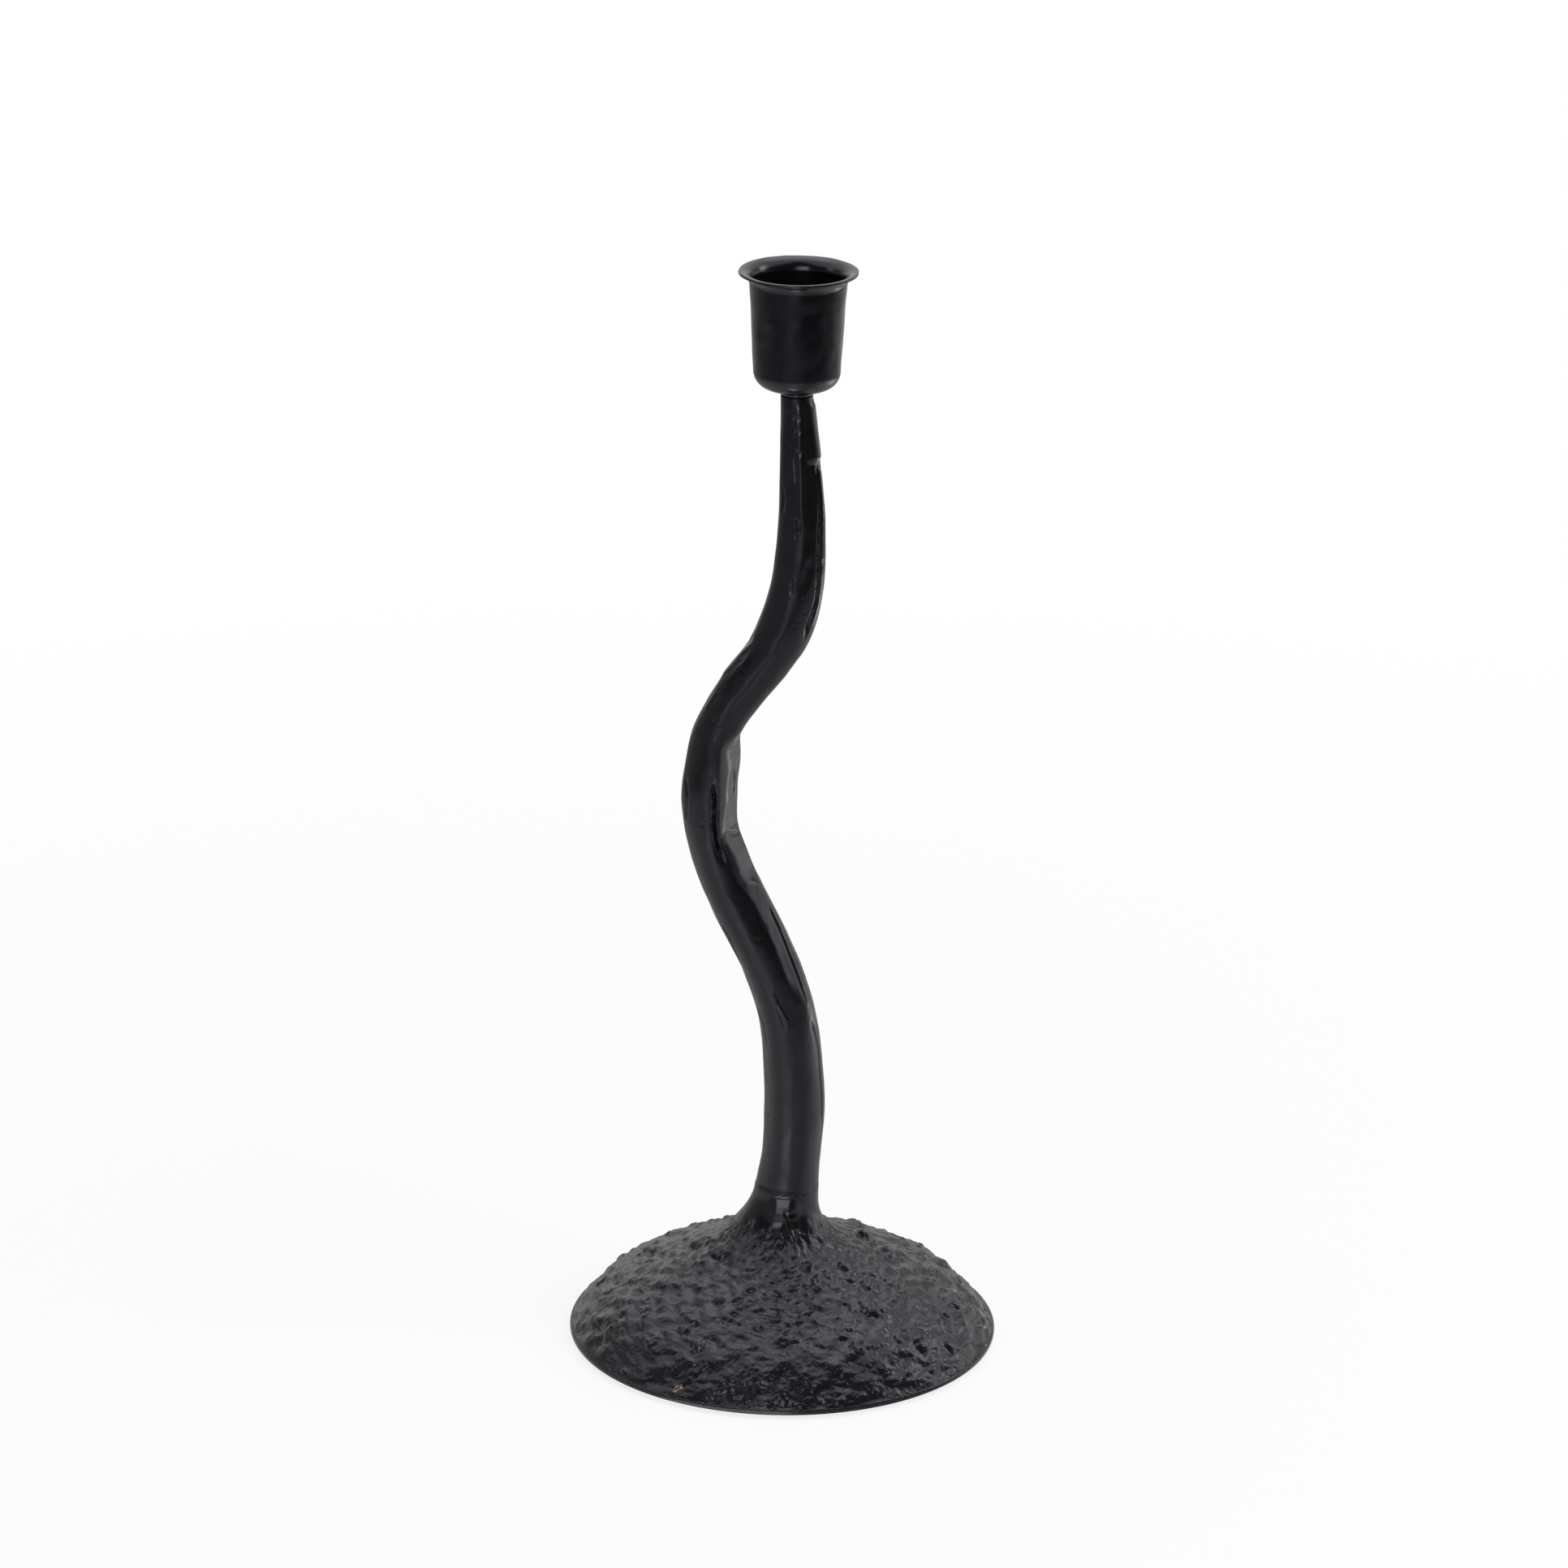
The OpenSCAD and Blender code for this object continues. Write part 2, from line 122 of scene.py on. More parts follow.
# Share of its height over which the flats fade at each end
FADE_SHARE = 0.06

# Camera: 36 mm sensor, the photograph is 1932 pixels square
PHOTO_PX = 1932
SENSOR_MM = 36.0
LENS_MM = 145.28
CAMERA_AT = np.array([0, -1637.3, 743.4])
CAMERA_AIM = np.array([-1.354, 0, 163.5])
CAMERA_ROLL = 0.01238


def camera_axes():
    """Right, up and forward of the camera, with its small roll."""
    ahead = CAMERA_AIM - CAMERA_AT
    ahead /= np.linalg.norm(ahead)
    right = np.cross(ahead, [0, 0, 1])
    right /= np.linalg.norm(right)
    up = np.cross(right, ahead)
    c, s = math.cos(CAMERA_ROLL), math.sin(CAMERA_ROLL)
    return c * right + s * up, c * up - s * right, ahead


CAM_RIGHT, CAM_UP, CAM_AHEAD = camera_axes()


def to_pixels(points):
    """Where points in millimetres fall in the photograph."""
    d = points - CAMERA_AT
    depth = d @ CAM_AHEAD
    focal = LENS_MM / SENSOR_MM * PHOTO_PX
    half = PHOTO_PX / 2
    return np.stack([half + focal * (d @ CAM_RIGHT) / depth, half - focal * (d @ CAM_UP) / depth], -1)


def mix(a, b, t):
    return a + (b - a) * t


def smooth(t):
    """A soft step from 0 to 1."""
    t = np.clip(t, 0, 1)
    return t * t * (3 - 2 * t)


def grow(value, start, reach):
    """A soft step that starts at a value and is full a reach further on."""
    return smooth((value - start) / reach)


def switch(value, at, soft):
    """A soft step with its middle at a value."""
    return smooth((value - at) / soft + 0.5)


def hump(x):
    """A soft hump, 1 at 0 and 0 from 1 away."""
    return (1 - np.clip(np.abs(x), 0, 1) ** 2) ** 2


def polar(points):
    """Distance from the foot's axis, and direction in radians from the right towards the back."""
    return np.hypot(points[:, 0], points[:, 1]), np.arctan2(points[:, 1], points[:, 0])


def curve(rows, u, column=1):
    """A smooth curve through a table's rows, read at u in its first column."""
    rows = np.asarray(rows, float)
    x, y = rows[:, 0], rows[:, column]
    rise = np.diff(y) / np.diff(x)
    slope = np.concatenate([rise[:1], (rise[1:] + rise[:-1]) / 2, rise[-1:]])
    i = np.clip(np.searchsorted(x, u, side="right") - 1, 0, len(x) - 2)
    run = x[i + 1] - x[i]
    t = (u - x[i]) / run
    return (
        y[i] * (1 + 2 * t) * (1 - t) ** 2
        + y[i + 1] * (3 - 2 * t) * t ** 2
        + slope[i] * run * t * (1 - t) ** 2
        - slope[i + 1] * run * (1 - t) * t ** 2
    )


def noise_at(points):
    """Smooth noise in -1..1 at points, in units of the noise's own cell."""
    return np.array([noise.noise(Vector(p)) for p in points])


def cells_at(points):
    """Distance to the nearest cell centre, and to the second nearest, of a scatter of cells."""
    found = np.array([noise.voronoi(Vector(p))[0][:2] for p in points])
    return found[:, 0], found[:, 1]


def angles(count):
    return np.arange(count) * TAU / count


def circle(r, z, count, x=0.0):
    """A level ring of points."""
    a = angles(count)
    return np.stack([x + r * np.cos(a), r * np.sin(a), np.full(count, float(z))], -1)


def surface_normals(grid):
    """Outward normals of a grid of points whose rows are rings that close on themselves."""
    around = np.roll(grid, -1, 1) - np.roll(grid, 1, 1)
    n = np.cross(around, np.gradient(grid, axis=0))
    return n / np.linalg.norm(n, axis=-1, keepdims=True)


def ring_faces(rings, closed=False):
    """Faces between stacked rings; a ring may have half or twice its neighbour's points."""
    starts = np.cumsum([0] + [len(r) for r in rings]).tolist()
    pairs = list(zip(range(len(rings) - 1), range(1, len(rings))))
    if closed:
        pairs.append((len(rings) - 1, 0))
    faces = []
    for j, k in pairs:
        n, m = len(rings[j]), len(rings[k])
        a, b = starts[j], starts[k]
        # twice is where the ring with twice the points starts, once where the other does
        twice, once, turn = (a, b, 1) if n > m else (b, a, -1)
        for i in range(min(n, m)):
            ahead = (i + 1) % min(n, m)
            if n == m:
                faces.append((a + i, a + ahead, b + ahead, b + i))
                continue
            middle = twice + 2 * i + 1
            faces.append((middle - 1, middle, once + i)[::turn])
            faces.append((middle, once + ahead, once + i)[::turn])
            faces.append((middle, twice + 2 * ahead, once + ahead)[::turn])
    return faces


def put(name, data):
    """An object in the scene, made from its data."""
    thing = bpy.data.objects.new(name, data)
    bpy.context.scene.collection.objects.link(thing)
    return thing


def make_piece(name, points, faces, sharp=40):
    """A smooth-shaded object from points in millimetres, with creases where faces meet sharply."""
    mesh = bpy.data.meshes.new(name)
    mesh.from_pydata((np.asarray(points) * MM).tolist(), [], faces)
    mesh.validate()
    mesh.polygons.foreach_set("use_smooth", [True] * len(mesh.polygons))
    mesh.set_sharp_from_angle(angle=math.radians(sharp))
    return put(name, mesh)


def mount(piece, material, slot, *nodes):
    """Gives a piece its finish, and puts it in place of the CAD nodes that it stands for."""
    piece.data.materials.clear()
    piece.data.materials.append(material)
    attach(piece, "root")
    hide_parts(*nodes)
    return piece


def lathe(name, profile, sides, x=0.0, shift=None):
    """A closed turned ring from a closed outline of (radius, height), with an optional reshaping."""
    rings = [circle(r, z, sides, x) for r, z in profile]
    points = np.concatenate(rings)
    if shift is not None:
        points = shift(points)
    return make_piece(name, points, ring_faces(rings, closed=True))


def capped(name, rings, sharp=40):
    """A closed piece from stacked rings, with a fan over each end."""
    faces = ring_faces(rings)
    points = np.concatenate(rings + [rings[0].mean(0)[None], rings[-1].mean(0)[None]])
    low, high = len(points) - 2, len(points) - 1
    n, m = len(rings[0]), len(rings[-1])
    last = len(points) - 2 - m
    faces += [(low, (i + 1) % n, i) for i in range(n)]
    faces += [(high, last + i, last + (i + 1) % m) for i in range(m)]
    return make_piece(name, points, faces, sharp)


def arc(r, z, rx, rz, start, end, steps):
    """Points (radius, height) along a quarter bend, angles in degrees."""
    turn = np.radians(np.linspace(start, end, steps))
    return [(r + rx * math.cos(t), z + rz * math.sin(t)) for t in turn]


def refine(outline, step, closed=True):
    """Adds points to an outline so that none lie further apart than step."""
    out = []
    for (r0, z0), (r1, z1) in zip(outline, outline[1:] + outline[:1] * closed):
        parts = max(1, math.ceil(math.hypot(r1 - r0, z1 - z0) / step))
        out += [(mix(r0, r1, i / parts), mix(z0, z1, i / parts)) for i in range(parts)]
    return out if closed else out + outline[-1:]


class Surface:
    """A grid of surface points, with the parts of it that face the photograph's camera."""

    def __init__(self, points, normals):
        facing = np.einsum("ij,ij->i", normals, CAMERA_AT - points) > 0
        self.front = points[facing]
        self.pixels = to_pixels(self.front)

    def at(self, x, y):
        """The surface point seen at a pixel of the photograph."""
        gap = np.hypot(self.pixels[:, 0] - x, self.pixels[:, 1] - y)
        near = np.argpartition(gap, 4)[:4]
        weight = 1 / (gap[near] + 0.05) ** 2
        return (self.front[near] * weight[:, None]).sum(0) / weight.sum()


def path_distance(points, path):
    """Distance to a path, and the place along it in 0..1."""
    best = np.full(len(points), 1e9)
    place = np.zeros(len(points))
    steps = np.linalg.norm(np.diff(path, axis=0), axis=1)
    along = np.concatenate([[0], np.cumsum(steps)]) / steps.sum()
    for i, (p, q) in enumerate(zip(path, path[1:])):
        run = q - p
        t = np.clip((points - p) @ run / (run @ run), 0, 1)
        gap = np.linalg.norm(points - p - t[:, None] * run, axis=1)
        closer = gap < best
        best[closer] = gap[closer]
        place[closer] = mix(along[i], along[i + 1], t[closer])
    return best, place


def faded(place, fade):
    """1 along a path or a facet, fading over a share of it at each end."""
    return smooth(np.minimum(place, 1 - place) / fade)


def groove(gap, width):
    return -hump(gap / width)


def ridge(gap, width):
    return hump(gap / width)


def slit(gap, width):
    return -np.clip(1 - gap / width, 0, 1)


def carve(points, surface, marks):
    """Height of hand-worked marks over a surface. A row is a shape, its height and its width in
    millimetres, the share of its length over which it fades at each end, and one or more paths in
    the photograph's pixels."""
    height = np.zeros(len(points))
    for shape, depth, width, fade, *paths in marks:
        for pixels in paths:
            path = np.array([surface.at(x, y) for x, y in pixels])
            low, high = path.min(0) - width, path.max(0) + width
            near = np.all((points > low) & (points < high), axis=1)
            if near.any():
                gap, place = path_distance(points[near], path)
                ends = faded(place, fade) if fade else 1
                height[near] += depth * ends * shape(gap, width)
    return height


def flatten(points, normals, facets):
    """Cuts flat facets. Each has a direction in degrees round the object, 0 towards the camera and
    90 to its right, a softness in mm, the share of its height over which it fades at each end, and
    its ridge in the photograph's pixels. What stands out past the ridge's plane is cut off."""
    for turn, soft, fade, pixels in facets:
        surface = Surface(points, normals)
        line = np.array([surface.at(x, y) for x, y in pixels])
        line = line[line[:, 2].argsort()]
        place = (points[:, 2] - line[0, 2]) / (line[-1, 2] - line[0, 2])
        near = (place > 0) & (place < 1)
        ends = faded(place[near], fade)
        z = points[near, 2]
        x, y = np.interp(z, line[:, 2], line[:, 0]), np.interp(z, line[:, 2], line[:, 1])
        facing = np.array([math.sin(math.radians(turn)), -math.cos(math.radians(turn)), 0])
        out = (points[near, 0] - x) * facing[0] + (points[near, 1] - y) * facing[1]
        points[near] -= facing * (ends * soft * np.logaddexp(0, out / soft))[:, None]
    return points


# Main lumps of the foot's skin, as the source of the solids has them: direction in degrees from
# the right towards the back, share of the way out, share of the lumps' height and of their width
LUMP_H = 1.0
LUMP_W = 5.0
LUMPS = [
    (24, 0.06, 1.3, 1.1), (5, 0.2, 1.4, 1.3), (-20, -0.05, 0.9, 0.8), (-40, 0, 0.9, 0.8),
    (-27, 0.15, 0.9, 1), (-38, 0.22, 1, 1), (-25, 0.3, 1, 1.15), (-73, 0.27, 0.9, 1.2),
    (-49, 0.41, 1.2, 1.5), (-11, 0.72, 1, 1.25), (-21, 0.73, 0.8, 0.7), (-4, 0.49, 0.6, 0.7),
    (3, 0.88, 0.6, 0.8), (-48, 0.7, 0.8, 0.7), (-41, 0.79, 1.1, 1.05), (-31, 0.87, 0.8, 0.75),
    (-64, 0.69, 0.9, 0.85), (172, 0.05, 0.8, 1.6), (-153, -0.05, 1, 1.2), (-157, 0.06, 0.9, 1.3),
    (-158, 0.36, 0.8, 1.3), (-122, 0.3, 0.8, 0.85), (-127, 0.61, 1, 0.9), (-135, 0.78, 0.8, 0.8),
    (-119, 0.69, 1.1, 1.05), (-156, 0.69, 0.5, 1), (150, 0.55, 0.6, 1.1), (140, 0.5, 0.6, 1),
    (128, 0.42, 0.6, 0.9), (116, 0.36, 0.7, 0.9), (50, 0.25, 0.9, 1.4), (30, 0.45, 0.8, 1.3),
    (98, 0.2, 0.9, 1.1), (82, 0.5, 1.1, 1.3), (70, 0.74, 0.9, 1), (104, 0.7, 1, 1.2),
    (128, 0.78, 0.8, 1), (60, 0.5, 0.7, 0.9), (90, 0.86, 0.7, 0.8), (162, 0.5, 0.9, 1.2),
    (172, 0.8, 0.8, 1), (20, 0.68, 0.8, 1), (44, 0.8, 1, 1.1), (12, 0.3, 0.7, 0.9),
]
# Unevenness between them, from the same source: share of the height, waves round the foot, and
# turn of the waves in degrees for each mm outwards
WAVES = [(0.16, 17, 47), (0.13, 29, -55), (0.1, 37, 61)]
# Steepness of the lumps' sides, and how much the noise shifts them, on main and scattered lumps
MAIN_SIDES = (1.6, 0.4)
SCATTER_SIDES = (1.45, 0.45)
# Bare spots where the paint is chipped: place in the photograph's pixels and width in mm; with
# how many radii out their soft edge ends
CHIP_EDGE = 1.6
CHIPS = [
    (850, 1663, 1.5), (832, 1711, 2.6), (838, 1709, 1.8), (750, 1689, 1.6), (865, 1733, 0.9),
    (1177, 1591, 2.2), (1214, 1636, 1.8), (1218, 1660, 1.6), (776, 1618, 0.6), (878, 1585, 0.5),
]
# Sizes of the lumps that are scattered over the skin: count, least and greatest radius in mm,
# and height as a share of the radius; with the ranges that their stretch round the foot and the
# share of their height are drawn from
SCATTER = [(40, 1.5, 2.2, 0.3), (300, 0.8, 1.5, 0.3), (260, 0.7, 1.3, -0.22)]
STRETCH = (1.0, 1.9)
SCATTER_SHARES = (0.6, 1.2)
# Share of the neck foot's area that is left free of them, their distance from the dome's edge,
# how high above the dome's top those on the neck sit, and how many radii each can reach
NECK_FREE = 0.6
SCATTER_INSET = 0.8
SCATTER_RISE = 1.5
SCATTER_REACH = 1.4
# Cell size of the noise that makes the outlines of all lumps uneven
WOBBLE_CELL = 1.5
# Sharp-backed contour ripples: cells round the foot's radius, cells per mm down the slope, height;
# with their level, the steepness of their backs, the share that the lower front has less, and the
# length down the slope for each mm outwards
RIPPLES = [(5.4, 0.22, 0.26), (9.0, 0.44, 0.2)]
RIPPLE_LEVEL = 0.45
RIPPLE_STEEP = 2.4
RIPPLE_CALM = 0.6
SLOPE_PER_MM = 1.25
# Crinkled skin: cell size and height in mm, and its share away from the lower front; with the
# widest gap between cells that counts, and the level
CRINKLES = [(2.1, 0.4, 0.18), (1.25, 0.25, 0.5), (0.8, 0.14, 0.85)]
CRINKLE_GAP = 0.6
CRINKLE_LEVEL = 0.25
# Lower front: direction and half width in degrees, how far it reaches up and fades out in mm
LOWER_FRONT = (-92, 62, 15, 8)
# Finest grain: cell size and height in mm
FINE = (0.9, 0.1)
# Smooth margin at the edge in mm, and how much wider it is at the lower left: by how much, and at
# which direction and over how much of the round in radians
MARGIN = 0.5
WIDER = (1.0, -2.4, 0.9)
# Unevenness of the hollow underside: cell size and height in mm
UNDER_SKIN = [(2.6, 0.16), (1.1, 0.1)]

# Points round the outer dome and round the rest, the radius where they change, the steps up dome
# and neck in mm, and the least distance of the rough skin from the edge's outline
DOME_SIDES = 768
INNER_SIDES = 384
INNER_FROM_R = 37.0
SKIN_STEP = 0.45
NECK_STEP = 0.6
SKIN_INSET = 0.05

# Worked places on the neck
NECK_FACETS = [
    # bright facet in front, with a sharp left edge
    (-4, 0.05, 0.1, [(955, 1463), (954.9, 1475), (954.9, 1490), (954.6, 1505), (954, 1522)]),
]
NECK_MARKS = [
    # the bright facet swells
    (ridge, 0.8, 4.8, 0, [(960, 1491), (970, 1491)]),
    # dark hollow at the lower right of the bright facet, that starts in a crease
    (groove, 0.55, 2.4, 0.35, [(974, 1494), (978, 1503), (981, 1511), (987, 1519)]),
    (slit, 0.35, 0.7, 0.3, [(965, 1491), (971, 1499), (978, 1507)]),
    # light swelling on the right
    (ridge, 0.4, 2.2, 0.3, [(988, 1508), (997, 1510), (1006, 1511)]),
    # joint line that the paint hasn't filled
    (slit, 0.22, 0.6, 0.2, [(983, 1461), (988, 1463), (995, 1462), (1001, 1459)]),
    (ridge, 0.18, 0.8, 0.2, [(956, 1457), (961, 1459)]),
    (ridge, 0.15, 0.7, 0.2, [(978, 1463), (982, 1464)]),
]


def dome_z(s):
    return EDGE_TOP_Z + DOME_H * curve(DOME_SHARES, s)


def dome_r(s):
    return mix(NECK_FOOT_R, DOME_R, s)


def dome_s(r):
    return (r - NECK_FOOT_R) / (DOME_R - NECK_FOOT_R)


def dome_line(s):
    """Radius and height of the smooth dome at place s, from 0 at the neck's foot to 1 at the edge."""
    return dome_r(s), dome_z(s)


def flare_line(t):
    """Radius and height of the neck, without its lean, at place t from its top to its foot."""
    return mix(NECK_TOP_R, NECK_FOOT_R, t ** FLARE_POWER), NECK_TOP_Z - NECK_H * t


def dome_grid(s, sides):
    return np.stack([circle(*dome_line(v), sides) for v in s])


def neck_grid(t, sides):
    """Points of the smooth neck at each place t, from its top to its foot."""
    a = angles(sides)[None, :]
    t = t[:, None]
    r = mix(NECK_TOP_R, NECK_FOOT_R, t ** (FLARE_POWER + FLARE_LEAN * np.cos(a)))
    z = NECK_TOP_Z - NECK_H * t + 0 * a
    return np.stack([STEM_X * (1 - t) + r * np.cos(a), r * np.sin(a), z], -1)


def slope_steps(start, end, line, step):
    """Places from start to end whose points on the line lie a step apart."""
    fine = np.linspace(start, end, 400)
    r, z = line(fine)
    lengths = np.hypot(np.diff(r), np.diff(z))
    along = np.concatenate([[0], np.cumsum(lengths)])
    count = int(lengths.sum() / step) + 1
    return np.interp(np.linspace(0, along[-1], count), along, fine)


def lump_height(points, wobble, centre, reach, height, stretch):
    """A steep-sided uneven lump or dent on the foot, stretched round the foot."""
    away = points - centre
    around = np.array([-centre[1], centre[0], 0]) / math.hypot(centre[0], centre[1])
    t = away @ around
    gap = np.sqrt(np.maximum((away ** 2).sum(1) - t ** 2 + (t / stretch) ** 2, 0)) / reach
    steep, uneven = SCATTER_SIDES
    return height * smooth(steep * (1 - gap * (1 + uneven * wobble)))


def main_lumps(points, wobble):
    """Height of the main lumps and waves of the skin."""
    r, a = polar(points)
    height = sum(share * np.sin(count * a + np.radians(turn * r)) for share, count, turn in WAVES)
    steep, uneven = MAIN_SIDES
    for turn, out, tall, wide in LUMPS:
        t = math.radians(turn)
        centre = dome_r(out) * np.array([math.cos(t), math.sin(t)])
        gap = np.hypot(*(points[:, :2] - centre).T) / (LUMP_W / 2 * wide)
        height += tall * smooth(steep * (1 - gap * (1 + uneven * wobble)))
    return LUMP_H * height


def scattered(points, wobble, rng):
    """Small lumps and dents all over the skin."""
    height = np.zeros(len(points))
    order = np.argsort(points[:, 2], kind="stable")
    levels = points[order, 2]
    for count, least, most, share in SCATTER:
        r = np.sqrt(rng.uniform(NECK_FOOT_R ** 2 * NECK_FREE, (DOME_R - SCATTER_INSET) ** 2, count))
        a = rng.uniform(0, TAU, count)
        reach = rng.uniform(least, most, count)
        stretch = rng.uniform(*STRETCH, count)
        tall = reach * share * rng.uniform(*SCATTER_SHARES, count)
        z = np.where(r > NECK_FOOT_R, dome_z(np.clip(dome_s(r), 0, 1)), DOME_TOP_Z + SCATTER_RISE)
        for i in range(count):
            centre = np.array([r[i] * math.cos(a[i]), r[i] * math.sin(a[i]), z[i]])
            low = np.searchsorted(levels, z[i] - SCATTER_REACH * reach[i])
            high = np.searchsorted(levels, z[i] + SCATTER_REACH * reach[i])
            near = order[low:high]
            sizes = reach[i], tall[i], stretch[i]
            height[near] += lump_height(points[near], wobble[near], centre, *sizes)
    return height


def rough_share(points, start, full):
    """How rough the casting is: 0 on the smooth neck, 1 on the dome, 0 at the smooth edge."""
    down = (NECK_TOP_Z - points[:, 2]) / NECK_H
    neck = np.clip((down - start) / (full - start), 0, 1)
    r, a = polar(points)
    more, at, spread = WIDER
    margin = MARGIN + more * hump((a - at) / spread)
    edge = smooth((DOME_R - r) / margin)
    return np.where(points[:, 2] < DOME_TOP_Z, edge, neck)


def foot_relief(points):
    """Height of the rough skin over the smooth foot."""
    rng = np.random.default_rng(SEED)
    r, a = polar(points)
    slope = (DOME_R - r) * SLOPE_PER_MM
    round_x, round_y = points[:, 0] / r, points[:, 1] / r
    wobble = noise_at(points / WOBBLE_CELL)
    height = scattered(points, wobble, rng)
    turn, spread, reach, fade = LOWER_FRONT
    front = hump((np.degrees(a) - turn) / spread) * grow(r, DOME_R - reach, fade)
    for cells, per_mm, tall in RIPPLES:
        field = noise_at(np.stack([cells * round_x, cells * round_y, slope * per_mm], -1))
        height += tall * (RIPPLE_LEVEL - np.abs(field) * RIPPLE_STEEP) * (1 - RIPPLE_CALM * front)
    for cell, tall, away in CRINKLES:
        near, far = cells_at(points / cell)
        height += tall * mix(away, 1, front) * (np.minimum(far - near, CRINKLE_GAP) - CRINKLE_LEVEL)
    height += FINE[1] * noise_at(points / FINE[0])
    height *= rough_share(points, GRAIN_START, GRAIN_FULL)
    return height + main_lumps(points, wobble) * rough_share(points, ROUGH_START, 1)


def chip_share(points, surface):
    """1 where the paint is chipped off, 0 elsewhere."""
    share = np.zeros(len(points))
    for x, y, width in CHIPS:
        gap = np.linalg.norm(points - surface.at(x, y), axis=1)
        share = np.maximum(share, np.clip(CHIP_EDGE - gap / (width / 2), 0, 1))
    return share


def foot_under_rings():
    """Rings of the hollow underside, from the bolt hole's mouth out and over the rounded edge."""
    ring_r = EDGE_R - RING_W
    s = slope_steps(0, dome_s(ring_r), dome_line, 1.6)
    flat = [(r, CEILING_Z) for r in np.linspace(BOLT_HOLE_R, NECK_FOOT_R - 2, 12)]
    slope = [(dome_r(v), dome_z(v) - WALL) for v in s[1:]]
    wall = [(ring_r, z) for z in np.linspace(slope[-1][1], FOOT_Z + 0.4, 3)[1:]]
    rings = [circle(r, z, 192) for r, z in flat + slope + wall]
    for ring in rings[1:-2]:
        ring[:, 2] += sum(tall * noise_at(ring / cell) for cell, tall in UNDER_SKIN)
    rings.append(circle(ring_r + 0.4, FOOT_Z, 192))
    rings.append(circle(ring_r + 3, FOOT_Z, 384))
    rings += [circle(r, z, DOME_SIDES) for r, z in (
        (EDGE_R - 2, FOOT_Z), (EDGE_R - 0.35, FOOT_Z), (EDGE_R - 0.1, FOOT_Z + 0.1),
        (EDGE_R, FOOT_Z + 0.35), (EDGE_R, EDGE_TOP_Z - 0.35), (EDGE_R - 0.12, EDGE_TOP_Z - 0.08),
        (EDGE_R - 0.35, EDGE_TOP_Z + 0.05),
    )]
    return rings


def neck_top_rings():
    """The neck's rounded top, and the bolt hole down through it."""
    rings = [circle(NECK_TOP_R - inset, NECK_TOP_Z, INNER_SIDES, STEM_X) for inset in (0.08, 0.4)]
    rings += [circle(r, NECK_TOP_Z, sides) for r, sides in ((7, 192), (5, 96))]
    hole_z = [*np.linspace(NECK_TOP_Z, CEILING_Z + 3, 6), CEILING_Z + 1.5]
    return rings + [circle(BOLT_HOLE_R, z, 96) for z in hole_z]


def build_foot():
    """The cast foot with its neck."""
    split_s = dome_s(INNER_FROM_R)
    outer = dome_grid(slope_steps(1, split_s, dome_line, SKIN_STEP), DOME_SIDES)
    inner = dome_grid(slope_steps(split_s, 0, dome_line, SKIN_STEP)[1:], INNER_SIDES)
    neck = neck_grid(slope_steps(1, 0, flare_line, NECK_STEP)[1:], INNER_SIDES)
    skin = [outer, np.concatenate([inner, neck])]
    normals = [surface_normals(g) for g in skin]
    points = np.concatenate([g.reshape(-1, 3) for g in skin])
    normal = np.concatenate([n.reshape(-1, 3) for n in normals])
    surface = Surface(points, normal)
    height = foot_relief(points) + carve(points, surface, NECK_MARKS)
    chips = chip_share(points, surface)
    points = flatten(points.copy(), normal, NECK_FACETS) + normal * height[:, None]
    points[:, :2] *= np.minimum(1, (EDGE_R - SKIN_INSET) / polar(points)[0])[:, None]
    split = outer.shape[0] * outer.shape[1]
    rings = foot_under_rings()
    before = sum(len(r) for r in rings)
    rings += list(points[:split].reshape(outer.shape)) + list(points[split:].reshape(skin[1].shape))
    rings += neck_top_rings()
    foot = make_piece("foot_casting", np.concatenate(rings), ring_faces(rings, closed=True))
    values = np.zeros(len(foot.data.vertices), np.float32)
    values[before:before + len(chips)] = chips
    foot.data.attributes.new("chip", "FLOAT", "POINT").data.foreach_set("value", values)
    return foot


